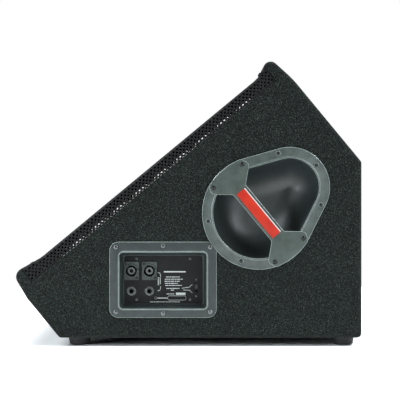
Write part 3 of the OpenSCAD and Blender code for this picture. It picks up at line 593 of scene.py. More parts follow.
def wadding_look():
    look = Look("polyester_wadding", Roughness=0.95, Sheen_Weight=0.5)
    fibre = look.noise(1.2, 6, 0.75, (1, 1, 0.35))
    return look.finished(look.tones(fibre, 0.3, 0.7, (150, 150, 144), (214, 213, 206)),
                         look.bump(fibre, 0.8, 1.0, look.bump(look.noise(16, 3), 3)))


def label_look():
    """Printed red foil."""
    look = Look("label_red", Roughness=0.5, Specular_IOR_Level=0.25)
    return look.finished(look.tones(look.noise(25, 3), 0.3, 0.7, (150, 28, 12), (168, 39, 17)),
                         look.bump(look.noise(0.5, 2), 0.02))


def print_and_highlight_look():
    """Screen-printed ink, thin in places; on the label's edge strip the same pale tone stands partly for a
    white border and partly for a painted highlight.
    """
    look = Look("white_ink", Roughness=0.6)
    colour = tint(176, 180, 178)
    worn = look.noise(0.9, 4, 0.7)
    return look.finished(look.colours(worn, (0.25, darker(colour, 0.6)), (0.5, colour)),
                         look.bump(worn, 0.02))


def floor_look():
    look = Look("studio_floor", Roughness=0.8, Specular_IOR_Level=0.1)
    mottle = look.noise(400, 3)
    return look.finished(look.colours(mottle, (0.3, grey(0.93)), (0.7, grey(0.95))), None)


def made(build, **rows):
    """A look for each row of values, under the row's name."""
    return {name: build(name, *values) for name, values in rows.items()}


looks = {
    "plywood": plywood_look(),
    "painted_plywood": painted_plywood_look(),
    "carpet": carpet_look(),
    "grille_paint": powder_look(),
    "cone": paper_look(),
    "copper": winding_look(),
    "ferrite": ferrite_look(),
    "circuit_board": board_look(),
    "wadding": wadding_look(),
    "label_red": label_look(),
    "white_ink": print_and_highlight_look(),
    **made(metal_look,
           black_screw=((58, 60, 60), 0.4),
           bright_screw=((96, 99, 99), 0.26),
           jack_nut=((104, 108, 107), 0.28),
           plated_steel=((176, 178, 180), 0.35),
           diaphragm=((196, 198, 204), 0.28)),
    **made(rubber_look,
           gasket=((24, 24, 24), (40, 40, 40), 0.8),
           surround=((20, 20, 20), (36, 36, 36), 0.6),
           foot_rubber=((5, 5, 5), (14, 14, 14), 0.62)),
    **made(weave_look,
           spider=((140, 92, 34), (198, 150, 80), 0.8),
           terminal_board=((74, 44, 24), (104, 64, 36), 0.5),
           lead_sleeve=((92, 24, 22), (160, 52, 46), 0.7)),
    **made(moulded_look,
           basket_paint=((26, 27, 28), (38, 40, 42), 0.5, 1.2, 0.08),
           horn_plastic=((22, 23, 24), (36, 38, 39), 0.42, 0.9, 0.04),
           capacitor=((196, 150, 52), (222, 180, 82), 0.3, 4, 0.02),
           resistor=((214, 210, 196), (236, 233, 222), 0.8, 0.8, 0.08),
           dish_plastic=((23, 30, 30), (38, 47, 46), 0.5, 1.1, 0.09),
           plate_paint=((8, 9, 10), (20, 22, 23), 0.5, 0.7, 0.05, 0.2),
           socket_plastic=((34, 41, 41), (52, 60, 59), 0.42, 0.9, 0.04),
           core_plastic=((62, 66, 66), (86, 90, 89), 0.45, 0.9, 0.03),
           jack_plastic=((14, 15, 15), (26, 27, 28), 0.4, 0.7, 0.03),
           slider_plastic=((16, 16, 17), (30, 31, 32), 0.45, 0.6, 0.04),
           handle_plastic=((36, 44, 42), (62, 73, 69), 0.5, 1.1, 0.09),
           # the bowl's darker tone is painted shade in the recess; its smoother, glossier finish is real
           bowl_plastic=((24, 31, 32), (37, 46, 47), 0.46, 1.1, 0.02, 1.0),
           # the pale edge tone is a painted highlight on the rounded rims, partly edge wear; only its
           # gloss is a real finish
           worn_edge=((96, 107, 104), (124, 136, 132), 0.3, 1.1, 0.02, 0.8),
           wing_plastic=((42, 51, 47), (61, 71, 66), 0.44, 1.3, 0.05)),
}


# ---- CAD nodes that stay: softened edges and a material each ----

KEPT = {
    "plywood": ["bottom_panel", "back_panel", "rear_slope_panel", "kick_panel", "internal_battens"],
    "painted_plywood": ["side_panel_left", "side_panel_right", "baffle", "grille_rails"],
    "black_screw": ["grille_screws", "woofer_bolts", "horn_screws", "speaker_socket_screws"],
    "bright_screw": ["plate_screws", "foot_screws", "crossover_standoffs"],
    "basket_paint": ["woofer_basket", "horn_driver_cover"],
    "gasket": ["woofer_gasket"],
    "cone": ["woofer_cone", "woofer_dust_cap"],
    "copper": ["woofer_voice_coil", "crossover_inductors"],
    "plated_steel": ["woofer_top_plate", "woofer_pole_piece", "horn_driver_plate"],
    "ferrite": ["woofer_magnet", "horn_driver_magnet"],
    "terminal_board": ["woofer_terminals"],
    "horn_plastic": ["horn_flare", "port_tubes"],
    "diaphragm": ["horn_diaphragm"],
    "circuit_board": ["crossover_board"],
    "capacitor": ["crossover_capacitors"],
    "resistor": ["crossover_resistors"],
    "lead_sleeve": ["wiring_harness"],
    "plate_paint": ["connector_plate"],
    "socket_plastic": ["speaker_socket_shells"],
    "core_plastic": ["speaker_socket_cores"],
    "jack_plastic": ["jack_bodies"],
    "slider_plastic": ["selector_slider", "selector_body"],
    "foot_rubber": ["rubber_feet"],
    "jack_nut": ["jack_nuts"],
}
EDGE_WIDTH = {"plywood": 0.8, "painted_plywood": 0.8, "foot_rubber": 0.6, "basket_paint": 0.4,
              "plate_paint": 0.2}
DEFAULT_EDGE = 0.25


def finish_node(name, look, edge):
    """Softens a CAD node's hard edges with modifiers and gives it its material."""
    obj = nodes[name]
    obj.data.materials.clear()
    obj.data.materials.append(look)
    if "custom_normal" in obj.data.attributes:
        obj.data.attributes.remove(obj.data.attributes["custom_normal"])
    obj.data.shade_smooth()
    weld = obj.modifiers.new("weld", "WELD")
    weld.merge_threshold = 0.01 * MM
    flat = obj.modifiers.new("flat", "DECIMATE")
    flat.decimate_type = "DISSOLVE"
    flat.angle_limit = math.radians(0.5)
    bevel = obj.modifiers.new("edges", "BEVEL")
    bevel.width = edge * MM
    bevel.segments = 2
    bevel.limit_method = "ANGLE"
    bevel.angle_limit = math.radians(30)
    bevel.harden_normals = True


for slot, names in KEPT.items():
    for name in names:
        finish_node(name, looks[slot], EDGE_WIDTH.get(slot, DEFAULT_EDGE))


# ---- The woofer's surround and spider, cut into sectors; in the speaker they flex as the cone moves ----

SECTORS = 16


def sector(source, centre, middle, half):
    """The part of a round shape that lies within an angle of the middle direction, as a shape."""
    axis = Vector((-math.sin(TILT), 0, math.cos(TILT)))
    bm = bmesh.new()
    bm.from_mesh(source.data)
    bm.transform(source.matrix_world)
    for turn in (-half, half):
        edge = Quaternion(axis, turn) @ middle
        away = axis.cross(edge) * (1 if turn > 0 else -1)
        bmesh.ops.bisect_plane(bm, geom=bm.verts[:] + bm.edges[:] + bm.faces[:], plane_co=centre,
                               plane_no=away, clear_outer=True)
        bmesh.ops.holes_fill(bm, edges=[e for e in bm.edges if e.is_boundary])
    bm.verts.index_update()
    shape = [tuple(v.co / MM) for v in bm.verts], [tuple(v.index for v in f.verts) for f in bm.faces]
    bm.free()
    return shape


def make_flexing_ring(node, look):
    """The ring cut into sector pieces about the cone's axis; the pieces ride on no body."""
    source = nodes[node]
    centre = sum((Vector(corner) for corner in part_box(node)), Vector()) / 2
    along = Vector((math.cos(TILT), 0, math.sin(TILT)))
    across = Vector((0, 1, 0))
    half = math.pi / SECTORS
    for k in range(SECTORS):
        a = 2 * half * k
        middle = along * math.cos(a) + across * math.sin(a)
        obj = piece(f"{node}_{k + 1}", sector(source, centre, middle, half), look,
                    [node] if k == 0 else (), sharp=40, body=None)
        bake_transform(obj)


# ---- Carpet ----

ROLL = 6                  # how far the side carpets roll over the cabinet's edges
LIP_ROLL = 2              # and over the edge under the grille's lip
CLOTH_STEP = 8
WAVE = 0.35               # how unevenly the carpet lies


def unevenness(x, y, z):
    """A gentle rise and fall of the glued carpet, with its nap on top, in mm."""
    slow = noise.noise(Vector((x, y, z)) / 45)
    nap = noise.noise(Vector((x, y, z)) / 3.1)
    return WAVE * slow + 0.18 * nap


def filled(outer, holes, step):
    """Triangles over the plane between an outer loop and holes, with points inside it."""
    loops = [outer] + holes
    points, edges = [], []
    for loop in loops:
        start = len(points)
        points += [Vector(p) for p in loop]
        edges += [(start + i, start + (i + 1) % len(loop)) for i in range(len(loop))]
    xs = np.arange(min(p[0] for p in outer), max(p[0] for p in outer), step)
    ys = np.arange(min(p[1] for p in outer), max(p[1] for p in outer), step * 0.87)
    grid = np.array([(x + (row % 2) * step / 2, y) for row, y in enumerate(ys) for x in xs])
    keep = inside(grid, shrunk(outer, step * 0.6))
    for hole in holes:
        keep &= ~inside(grid, shrunk(hole, -step * 0.6))
    points += [Vector(p) for p in grid[keep]]
    flat, _, triangles, *_ = geometry.delaunay_2d_cdt(points, edges, [], 0, 1e-5)
    centres = np.array([sum((flat[i] for i in t), Vector((0, 0))) / 3 for t in triangles])
    keep = inside(centres, outer)
    for hole in holes:
        keep &= ~inside(centres, hole)
    return [tuple(p) for p in flat], [tuple(t) for t, k in zip(triangles, keep) if k]


def handle_hole():
    """The handle cup's hole in a side's carpet."""
    inset = FLANGE_W - CUP_WALL
    place = side_place(HANDLE_AT, TILT, 1)
    placed = [place(u, v, 0) for u, v in lobes(HANDLE_R - inset, HANDLE_SMALL_R - inset, steps=24)]
    return [(x, z) for x, _, z in placed]


def dish_hole():
    """The connector dish's hole in its side's carpet."""
    loop = rounded_box(OPENING[0] + 6, OPENING[1] + 6, 8)
    return resampled([(DISH_AT[0] + x, DISH_AT[1] - OPENING_DROP + y) for x, y in loop], CLOTH_STEP)


def side_carpet(name, side, holes):
    """One side's carpet, glued flat and rolled over the cabinet's edges."""
    outline = resampled(rounded(cabinet_corners(0, -LIP_DEPTH)), CLOTH_STEP)
    if area(outline) < 0:
        outline.reverse()
    rolls = []
    for x, z in outline:
        s = (x - GRILLE_FOOT[0]) * math.cos(TILT) + (z - GRILLE_FOOT[1]) * math.sin(TILT)
        h = -(x - GRILLE_FOOT[0]) * math.sin(TILT) + (z - GRILLE_FOOT[1]) * math.cos(TILT)
        beside_lip = LOW_EAR_S - 0.1 < s < HIGH_EAR_S + 0.1 and h > -LIP_DEPTH - 0.1
        rolls.append(LIP_ROLL if beside_lip else ROLL)
    count = len(rolls)
    rolls = [sum(rolls[(i + k) % count] for k in (-1, 0, 1)) / 3 for i in range(count)]
    front = shrunk(outline, rolls)
    flat, triangles = filled(front, holes, CLOTH_STEP)
    points = [(x, side * (HALF_WIDTH + unevenness(x, side * 300, z)), z) for x, z in flat]
    faces = list(triangles)
    # the loop's points come first and in order, so the rolled edge can start from them
    ring = range(count)
    steps = 5
    for k in range(1, steps + 1):
        a = math.pi / 2 * k / steps
        start = len(points)
        shrink = shrunk(outline, [r * (1 - math.sin(a)) for r in rolls])
        for (x, z), r in zip(shrink, rolls):
            nap = 0.12 * noise.noise(Vector((x, k, z)) / 3)
            points.append((x, side * (HALF_WIDTH - r * (1 - math.cos(a)) + nap), z))
        ring_next = range(start, start + count)
        faces += band(ring, ring_next)
        ring = ring_next
    # the glued face
    start = len(points)
    points += [(x, side * (HALF_WIDTH - CARPET), z) for x, z in flat]
    faces += [tuple(start + i for i in reversed(t)) for t in triangles]
    faces += band(ring, range(start, start + count))
    first = count
    for hole in holes:
        rim = range(first, first + len(hole))
        faces += band([start + i for i in rim], rim)
        first += len(hole)
    return piece(name + "_cloth", (points, faces), "carpet", [name], sharp=60)


def make_carpet():
    for side_name, side in SIDES.items():
        holes = [handle_hole()] + ([dish_hole()] if side < 0 else [])
        name = f"carpet_side_{side_name}"
        outline = rounded(cabinet_corners(0, -LIP_DEPTH))
        obj = side_carpet(name, side, holes)
        cloth = (abs(area(outline)) - sum(abs(area(hole)) for hole in holes)) * MM * MM
    outer = resampled(rounded(cabinet_corners(0, BAFFLE_H)), 5, closed=False)
    inwards = 1 if area(outer) > 0 else -1
    inner = shrunk(outer, CARPET * inwards)
    half = HALF_WIDTH - ROLL
    rings = []
    steps = math.ceil(2 * half / CLOTH_STEP)
    for k in range(steps + 1):
        y = -half + 2 * half * k / steps
        lift = [0.0 if k in (0, steps) else unevenness(x, y, z) for x, z in outer]
        bent = shrunk(outer, [-v * inwards for v in lift])
        bent[0], bent[-1] = outer[0], outer[-1]
        rings.append([(x, y, z) for x, z in bent] + [(x, y, z) for x, z in reversed(inner)])
    wrap = piece("carpet_wrap_cloth", loft(rings), "carpet", ["carpet_wrap"], sharp=60)
    length = sum(math.dist(p, q) for p, q in zip(outer, outer[1:]))


# ---- Grille ----

PITCH = 4.0               # between rows; holes stand 8 mm apart along a row, staggered
HOLE_R = 2.0
HOLE_SIDES = 12
FACE_PARTS = 3            # pieces that the perforated face is divided into
LIP_ROWS = 8
SHEET_T = 1.2
FOLD_R = 1.6
BEND_BLEND = 1.5
GRILLE_HALF = HALF_WIDTH - 1
GRILLE_LOW = LOW_EAR_S + 0.3
GRILLE_HIGH = HIGH_EAR_S - 0.3
LIP_BOTTOM = -LIP_DEPTH + 0.3


def ramp(x):
    """How far past a bend x counts, with the bend itself eased."""
    if x > BEND_BLEND:
        return x
    if x < -BEND_BLEND:
        return 0.0
    return (x + BEND_BLEND) ** 2 / (4 * BEND_BLEND)


def sheet_h(s):
    """The height of the grille's outer face at s."""
    return ramp(LOW_BEND_S - s) * LOW_BEND_SLOPE + ramp(s - HIGH_BEND_S) * HIGH_BEND_SLOPE


def half_cell(centre, a, b):
    """The quarter of a cell between the hole and the side from corner a to corner b."""
    start = math.atan2(a[1] - centre[1], a[0] - centre[0])
    return [a, b] + arc(centre, HOLE_R, start, math.pi / 2, HOLE_SIDES // 4)[::-1]


def clipped(polygon, keep):
    """A polygon cut to where keep(point) is not negative; keep is linear."""
    out = []
    for p, q in zip(polygon, polygon[1:] + polygon[:1]):
        kp, kq = keep(p), keep(q)
        if kp >= 0:
            out.append(p)
        if kp * kq < 0:
            out.append(between(p, q, kp / (kp - kq)))
    return out


def perforated(first, last, bottom, top, columns, rows, punch=lambda p: True, regions=None):
    """A flat sheet of staggered holes between two corners, as polygons."""
    dx = (last - first) / columns
    dy = (top - bottom) / rows
    polygons = []
    for i in range(columns + 1):
        for j in range(rows + 1):
            if (i + j) % 2:
                continue
            x, y = first + i * dx, bottom + j * dy
            corners = [(x + dx, y), (x, y + dy), (x - dx, y), (x, y - dy)]
            if 0 < i < columns and 0 < j < rows and punch((x, y)):
                polygons += [half_cell((x, y), corners[k], corners[(k + 1) % 4]) for k in range(4)]
                continue
            for region in regions or [[]]:
                part = corners
                for keep in [lambda p: p[0] - first, lambda p: last - p[0], lambda p: p[1] - bottom,
                             lambda p: top - p[1], *region]:
                    part = clipped(part, keep) if part else part
                if len(part) > 2:
                    polygons.append(part)
    return polygons


def sheet_shape(polygons, place):
    """Polygons as one mesh, their shared corners joined."""
    index, points, faces = {}, [], []
    for polygon in polygons:
        face = []
        for p in polygon:
            key = (round(p[0], 3), round(p[1], 3))
            if key not in index:
                index[key] = len(points)
                points.append(place(*p))
            if not face or face[-1] != index[key]:
                face.append(index[key])
        if len(set(face)) > 2:
            faces.append(tuple(face))
    return points, faces


def outward(obj, direction):
    """Turns an open sheet's faces to look that way."""
    total = sum((p.normal * p.area for p in obj.data.polygons), Vector())
    if total.dot(Vector(direction)) < 0:
        obj.data.flip_normals()


def sheet_piece(name, shape, direction, stands_for=()):
    obj = piece(name, shape, "grille_paint", stands_for, sharp=30)
    outward(obj, direction)
    skin = obj.modifiers.new("sheet", "SOLIDIFY")
    skin.thickness = SHEET_T * MM
    skin.offset = -1
    return obj


def make_grille():
    slope_normal = (-math.sin(TILT), 0, math.cos(TILT))
    inner = GRILLE_HALF - FOLD_R
    columns = round((GRILLE_HIGH - GRILLE_LOW) / PITCH / 2) * 2
    rows = round(2 * inner / PITCH / 2) * 2
    face = perforated(GRILLE_LOW, GRILLE_HIGH, -inner, inner, columns, rows)
    cuts = [GRILLE_LOW + (GRILLE_HIGH - GRILLE_LOW) * k / FACE_PARTS for k in range(FACE_PARTS + 1)]
    for k, (low, high) in enumerate(zip(cuts, cuts[1:])):
        mine = [p for p in face if low <= sum(c[0] for c in p) / len(p) < high + (k == FACE_PARTS - 1)]
        shape = sheet_shape(mine, lambda s, y: slope_place(s, sheet_h(s))(0, y, 0))
        sheet_piece(f"grille_face_{k + 1}", shape, slope_normal, ["grille"] if k == 0 else ())

    def under_edge(p):
        return all(p[1] + HOLE_R * math.sin(a) + 0.6 < sheet_h(p[0] + HOLE_R * math.cos(a)) - FOLD_R
                   for a in (0.5, 1.0, math.pi / 2, 2.1, 2.6))

    row = (-FOLD_R - LIP_BOTTOM) / 5
    top = LIP_BOTTOM + LIP_ROWS * row
    regions = [
        [lambda p: LOW_BEND_S - p[0], lambda p: (LOW_BEND_S - p[0]) * LOW_BEND_SLOPE - FOLD_R - p[1]],
        [lambda p: p[0] - LOW_BEND_S, lambda p: HIGH_BEND_S - p[0], lambda p: -FOLD_R - p[1]],
        [lambda p: p[0] - HIGH_BEND_S, lambda p: (p[0] - HIGH_BEND_S) * HIGH_BEND_SLOPE - FOLD_R - p[1]],
    ]
    lip = perforated(GRILLE_LOW, GRILLE_HIGH, LIP_BOTTOM, top, columns, LIP_ROWS, under_edge, regions)
    turn = [math.pi / 2 * k / 4 for k in range(5)]
    stations = sorted({GRILLE_LOW, GRILLE_HIGH, *np.linspace(GRILLE_LOW, GRILLE_HIGH, 60),
                       *np.linspace(LOW_BEND_S - 2, LOW_BEND_S + 2, 7),
                       *np.linspace(HIGH_BEND_S - 2, HIGH_BEND_S + 2, 7)})
    for side_name, side in SIDES.items():
        flat = sheet_shape(lip, lambda s, h: slope_place(s, h)(0, side * GRILLE_HALF, 0))
        sheet_piece(f"grille_lip_{side_name}", flat, (0, side, 0))
        points = []
        for s in stations:
            for a in turn:
                y = side * (GRILLE_HALF - FOLD_R * (1 - math.cos(a)))
                x, z = on_slope(s, sheet_h(s) - FOLD_R * (1 - math.sin(a)))
                points.append((x, y, z))
        faces = grid_faces(len(stations) - 1, len(turn) - 1)
        sheet_piece(f"grille_fold_{side_name}", (points, faces), (slope_normal[0], side, slope_normal[2]))


# ---- Screws ----

def pan_head(r, height, cross=0.62):
    """A pan head with a cross recess, on z = 0."""
    dome = [(0.02, -0.2), (r * 0.98, -0.2), (r, 0.12 * height)]
    dome += [(r * math.cos(a), 0.12 * height + height * 0.88 * math.sin(a))
             for a in (math.radians(d) for d in range(12, 90, 13))]
    dome += [(0.02, height)]
    arms = []
    for turn in (0, 1):
        w, l = r * 0.17, r * cross
        tip = rectangle(-l * 0.45, l * 0.45, w * 0.5)
        arm = loft([at(tip, height * 0.15), at(rectangle(-l, l, w), height * 1.3)])
        arms.append(moved(arm, lambda a, b, c: (-b, a, c)) if turn else arm)
    return cut(lathe(dome, 32), arms)


def turned(shape, degrees):
    a = math.radians(degrees)
    c, s = math.cos(a), math.sin(a)
    return moved(shape, lambda x, y, z: (x * c - y * s, x * s + y * c, z))


# ---- Handles ----

SCREW_POCKET_R = 4.4
BEAD = 0.55
BOWL_POWER = 2.2      # how square the bowl's section is
EXTRA_REACH = 9       # how far past the small lobe's centre the bowl goes on falling
RIM_EDGE = 1.1        # rounding of the flanges' outer edges
WING_EDGE = 0.9
WING = [((BAR_W / 2, 50), 6), ((41, 74), 8), ((35, 89), 9), ((13.5, 93.3), 70),
        ((-13.5, 93.3), 70), ((-35, 89), 9), ((-41, 74), 8), ((-BAR_W / 2, 50), 6)]
LABEL_HALF = 47.4
LABEL_LEFT, LABEL_EDGE, LABEL_RIGHT = -9.2, 7.5, 9.3


def bowl_depth(x, reach):
    """Depth of the bowl at x in from its rim; it is round, steep at the rim and level in the middle."""
    return -CUP_DEPTH * (1 - max(1 - x / reach, 0) ** BOWL_POWER) ** (1 / BOWL_POWER)


def bowl_loop(x, grow=0):
    """The bowl's level line at x in from its rim."""
    big = HANDLE_R - FLANGE_W - x
    small = HANDLE_SMALL_R - FLANGE_W - x
    if small > 0.5:
        return lobes(big + grow, small + grow)
    left = max(big / (HANDLE_R - HANDLE_SMALL_R), 0.02)
    return lobes(max(big, 1.0) + grow, 0.5 + grow, max(HANDLE_SPAN * left, (max(big, 1.0) - 0.5) * 1.05))


def cup_shape():
    """The cup: flange with a rounded outer edge and an inner bead, and the bowl behind it."""
    steps = 30
    widest = (HANDLE_R - FLANGE_W) * 0.985
    xs = [widest * (1 - math.cos(math.pi / 2 * k / steps)) for k in range(steps + 1)]
    reach = HANDLE_SMALL_R - FLANGE_W + EXTRA_REACH
    rings = [at(bowl_loop(x, CUP_WALL), bowl_depth(x, reach) - CUP_WALL * x / reach) for x in reversed(xs)]
    levels = [(0, 0), *rounding(RIM_EDGE, FLANGE_T)]
    for d, z in ((2.9, 0), (2.4, 0.7 * BEAD), (1.5, BEAD), (0.7, 0.75 * BEAD), (0.1, -0.2), (0, -1.0)):
        levels.append((FLANGE_W - d, FLANGE_T + z))
    rings += [at(lobes(HANDLE_R - d, HANDLE_SMALL_R - d), z) for d, z in levels]
    rings += [at(bowl_loop(x), bowl_depth(x, reach)) for x in xs]
    pocket = lathe([(3.0, -1.2), (3.4, -1.0), (SCREW_POCKET_R - 0.2, -0.5), (SCREW_POCKET_R, 1.0)], 32)
    return cut(loft(rings), [shifted(pocket, x, y, FLANGE_T) for x, y in FLANGE_SCREWS])


def wing_plate():
    """The bar's outer face with its two wings, in one moulding, and the recess for the label."""
    outline = rounded(WING + [((-x, -y), r) for (x, y), r in WING], 10)
    top = FLANGE_T + WING_T
    plate = slab(outline, FLANGE_T - 0.05, top, WING_EDGE, 5)
    recess = loft([at(rectangle(-9.5, 10.7, LABEL_HALF + 0.2), z) for z in (top - 1.3, top + 3)])
    pocket = lathe([(3.0, -1.6), (3.6, -1.5), (SCREW_POCKET_R - 0.15, -1.0), (SCREW_POCKET_R, 0.8)], 32)
    dimple = lathe([(0.4, -1.2), (1.5, -0.8), (1.7, 0.8)], 24)
    cutters = [recess, shifted(dimple, 0, 55.2, top)]
    cutters += [shifted(pocket, x, y, top) for x, y in WING_SCREWS]
    return cut(plate, cutters)


def bar_body():
    """The grip under the face, rounded at the back for the fingers."""
    half = BAR_W / 2
    section = rounded([((-half + 0.4, 2.6), 0.4), ((-half + 3, BAR_BACK), 7), ((half - 3, BAR_BACK), 7),
                       ((half - 0.4, 2.6), 0.4)], 8)
    rings = []
    for k in range(25):
        v = -80 + 160 * k / 24
        swell = 1 + 0.10 * (v / 80) ** 4
        rings.append([(u * swell, v, min(z * swell, 2.6)) for u, z in section])
    return loft(rings)


def label_shapes():
    """The label plate and the pale edge along one side of it: partly a white border, partly a painted
    highlight on that lit edge.
    """
    top = FLANGE_T + WING_T
    red = slab(rectangle(LABEL_LEFT, LABEL_EDGE, LABEL_HALF), top - 1.2, top - 0.25, 0.2, 2)
    pale = slab(rectangle(LABEL_EDGE, LABEL_RIGHT, LABEL_HALF), top - 1.2, top - 0.2, 0.35, 3)
    return red, pale


def make_handles():
    cup = cup_shape()
    wings = wing_plate()
    body = bar_body()
    red, pale = label_shapes()
    head = pan_head(*HANDLE_HEAD)
    heads = [turned(head, 17 * i) for i in range(9)]
    screws = [shifted(h, x, y, FLANGE_T + WING_T - 1.45) for h, (x, y) in zip(heads, WING_SCREWS)]
    screws += [shifted(h, x, y, FLANGE_T - 1.05) for h, (x, y) in zip(heads[4:], FLANGE_SCREWS)]
    for name, side in SIDES.items():
        place = side_place(HANDLE_AT, TILT, side)
        first = side < 0
        obj = piece(f"handle_cup_{name}_moulding", moved(cup, place), "handle_plastic",
                    [f"handle_cup_{name}"], sharp=40)
        paint_bowl_shade(obj, side)
        paint_edge_highlights(obj, HALF_WIDTH + FLANGE_T - RIM_EDGE)
        bar = piece(f"handle_bar_{name}_face", moved(wings, place), "wing_plastic",
                    [f"handle_bar_{name}"], 40)
        paint_edge_highlights(bar, HALF_WIDTH + FLANGE_T + WING_T - WING_EDGE)
        piece(f"handle_bar_{name}_grip", moved(body, place), "wing_plastic", (), 50)
        piece(f"handle_label_{name}", moved(red, place), "label_red", ["handle_labels"] if first else ())
        # the pale strip is partly a white border and partly a painted highlight on the label's lit edge
        piece(f"handle_label_edge_{name}", moved(pale, place), "white_ink", ())
        piece(f"handle_screws_{name}", moved(merged(screws), place), "black_screw",
              ["handle_screws"] if first else (), sharp=30)


def facets(obj, what):
    """The centres or normals of an object's faces, as an array."""
    values = np.empty(len(obj.data.polygons) * 3)
    obj.data.polygons.foreach_get(what, values)
    return values.reshape(-1, 3)


def paint_edge_highlights(obj, above):
    """Gives the rounded edges that stand out past a level a paler, shinier finish: mostly a painted
    highlight along every such edge, partly edge wear.
    """
    obj.data.materials.append(looks["worn_edge"])
    slots = np.empty(len(obj.data.polygons), np.int32)
    obj.data.polygons.foreach_get("material_index", slots)
    rounded_off = np.abs(facets(obj, "normal")[:, 1]) < 0.94
    raised = np.abs(facets(obj, "center")[:, 1]) > above * MM
    slots[rounded_off & raised] = len(obj.data.materials) - 1
    obj.data.polygons.foreach_set("material_index", slots)


def paint_bowl_shade(obj, side):
    """The inside of the bowl is smoother and glossier than the flange, and darker as painted shade in the
    recess.
    """
    obj.data.materials.append(looks["bowl_plastic"])
    centres = facets(obj, "center") / MM
    across, up = centres[:, 0] - HANDLE_AT[0], centres[:, 2] - HANDLE_AT[1]
    along = across * math.cos(TILT) + up * math.sin(TILT)
    beside = -across * math.sin(TILT) + up * math.cos(TILT)
    below_rim = side * centres[:, 1] < HALF_WIDTH + FLANGE_T - 0.6
    in_bowl = below_rim & inside(np.column_stack((along, beside)), bowl_loop(-0.2))
    obj.data.polygons.foreach_set("material_index", in_bowl.astype(np.int32))


# ---- Connector dish ----

INK_T = 0.12
DASHES = (5.2, 3.4, 6.1, 2.6)
DISH_CORNER_R = 15
FALL_STEPS = 6


def dish_shape():
    """The moulded dish: flange, beaded opening, drafted walls and a second bead at their foot."""
    w, h = DISH_SIZE
    ow, oh = OPENING
    top = DISH_FLANGE_T
    foot = -2 * DISH_DRAFT
    floor = -DISH_DEPTH
    fall = floor + 2.4 - top + 0.5
    opening = [(5, 8.5, top), (4.2, 8.1, top + 0.45), (2.6, 7.3, top + 0.7), (1.0, 6.5, top + 0.4),
               (0, 6, top - 0.5)]
    opening += [(foot * k / FALL_STEPS, 6 - 0.3 * k, top - 0.5 + fall * k / FALL_STEPS)
                for k in range(1, FALL_STEPS + 1)]
    opening += [(foot - 0.8, 4, floor + 1.9), (foot - 2.0, 3.6, floor + 1.7),
                (foot - 3.0, 3.2, floor + 1.2), (foot - 3.4, 3, floor + 0.2),
                (foot - 3.4, 3, floor - 4), (0, 7, floor - 4), (5, 8.5, -0.6)]
    flange = [(0, 0), *rounding(RIM_EDGE, top)]
    rings = [at(rounded_box(w - 2 * d, h - 2 * d, DISH_CORNER_R - d, 10), z) for d, z in flange]
    for grow, r, z in opening:
        rings.append(at([(x, y - OPENING_DROP) for x, y in rounded_box(ow + grow, oh + grow, r, 10)], z))
    notch = lathe([(HANDLE_R + 0.6, -5), (HANDLE_R + 0.6, 5)], 192)
    notch = shifted(notch, HANDLE_AT[0] - DISH_AT[0], HANDLE_AT[1] - DISH_AT[1])
    return cut(loft(rings, loop=True), [notch])


def stroke(path, width, z):
    """A printed line through points."""
    parts = []
    for p, q in zip(path, path[1:]):
        along = (Vector(q) - Vector(p)).normalized()
        across = Vector((-along.y, along.x)) * width / 2
        a, b = Vector(p) - along * width / 2, Vector(q) + along * width / 2
        outline = [tuple(c) for c in (a - across, b - across, b + across, a + across)]
        parts.append(loft([at(outline, z - 0.05), at(outline, z + INK_T)]))
    return merged(parts)


def dashes(left, right, y, height, z):
    """A row of plain printed dashes."""
    parts = []
    x, k = left, 0
    while x < right - 1:
        end = min(x + DASHES[k % len(DASHES)], right)
        first = x + height / 2
        parts.append(stroke([(first, y), (max(end - height / 2, first + 0.1), y)], height, z))
        x = end + 0.8
        k += 1
    return merged(parts)


def plate_marks():
    """Plain printed lines and dashes, in place of words."""
    z = -DISH_DEPTH
    rows = [(5.2, 28.6, 4.8), (3.4, 33.9, 1.0), (2.9, 29.8, -2.5), (3.4, 25.1, -6.0), (4.0, 32.1, -9.5),
            (5.8, 28.0, -14.6), (13.4, 20.4, -17.5), (6.4, 19.2, -23.9)]
    frame_line = [(23.6 + x, -30.7 + y) for x, y in rounded_box(31, 7.2, 3, 5)]
    ring_line = [(-12 + x, -30.9 + y) for x, y in circle(2.0, 16)]
    lines = [(frame_line + frame_line[:1], 0.6),
             ([(-9.5, -30.9), (7.6, -30.9)], 1.5),
             (ring_line + ring_line[:1], 0.7),
             ([(24, -23.6), (36.5, -23.6)], 3.6),
             ([(-8.4, 12.2), (-5.5, 11.4), (-4.2, 9.4), (-3.8, 5.6)], 0.9),
             ([(-8.4, -18.6), (-5.5, -17.8), (-4.2, -15.6), (-3.8, -11.6)], 0.9),
             ([(-7.8, 4.0), (-7.8, -8.6)], 1.1),
             ([(-4.6, 3.6), (-4.6, -7.0)], 1.1),
             ([(32.6, -14.2), (45.4, -12.3), (47.2, -9.4), (49.4, -8.7)], 0.8),
             ([(35, -17.2), (45.4, -17.6), (47.2, -20.2), (49.4, -21.2)], 0.8)]
    marks = [dashes(left, right, y, 1.25, z) for left, right, y in rows]
    marks.append(stroke([(2.6, 13.6), (37.5, 13.6)], 2.0, z))
    marks.append(dashes(-21.8, 28.6, -37.4, 1.0, z))
    marks += [stroke(path, width, z) for path, width in lines]
    return merged(marks)


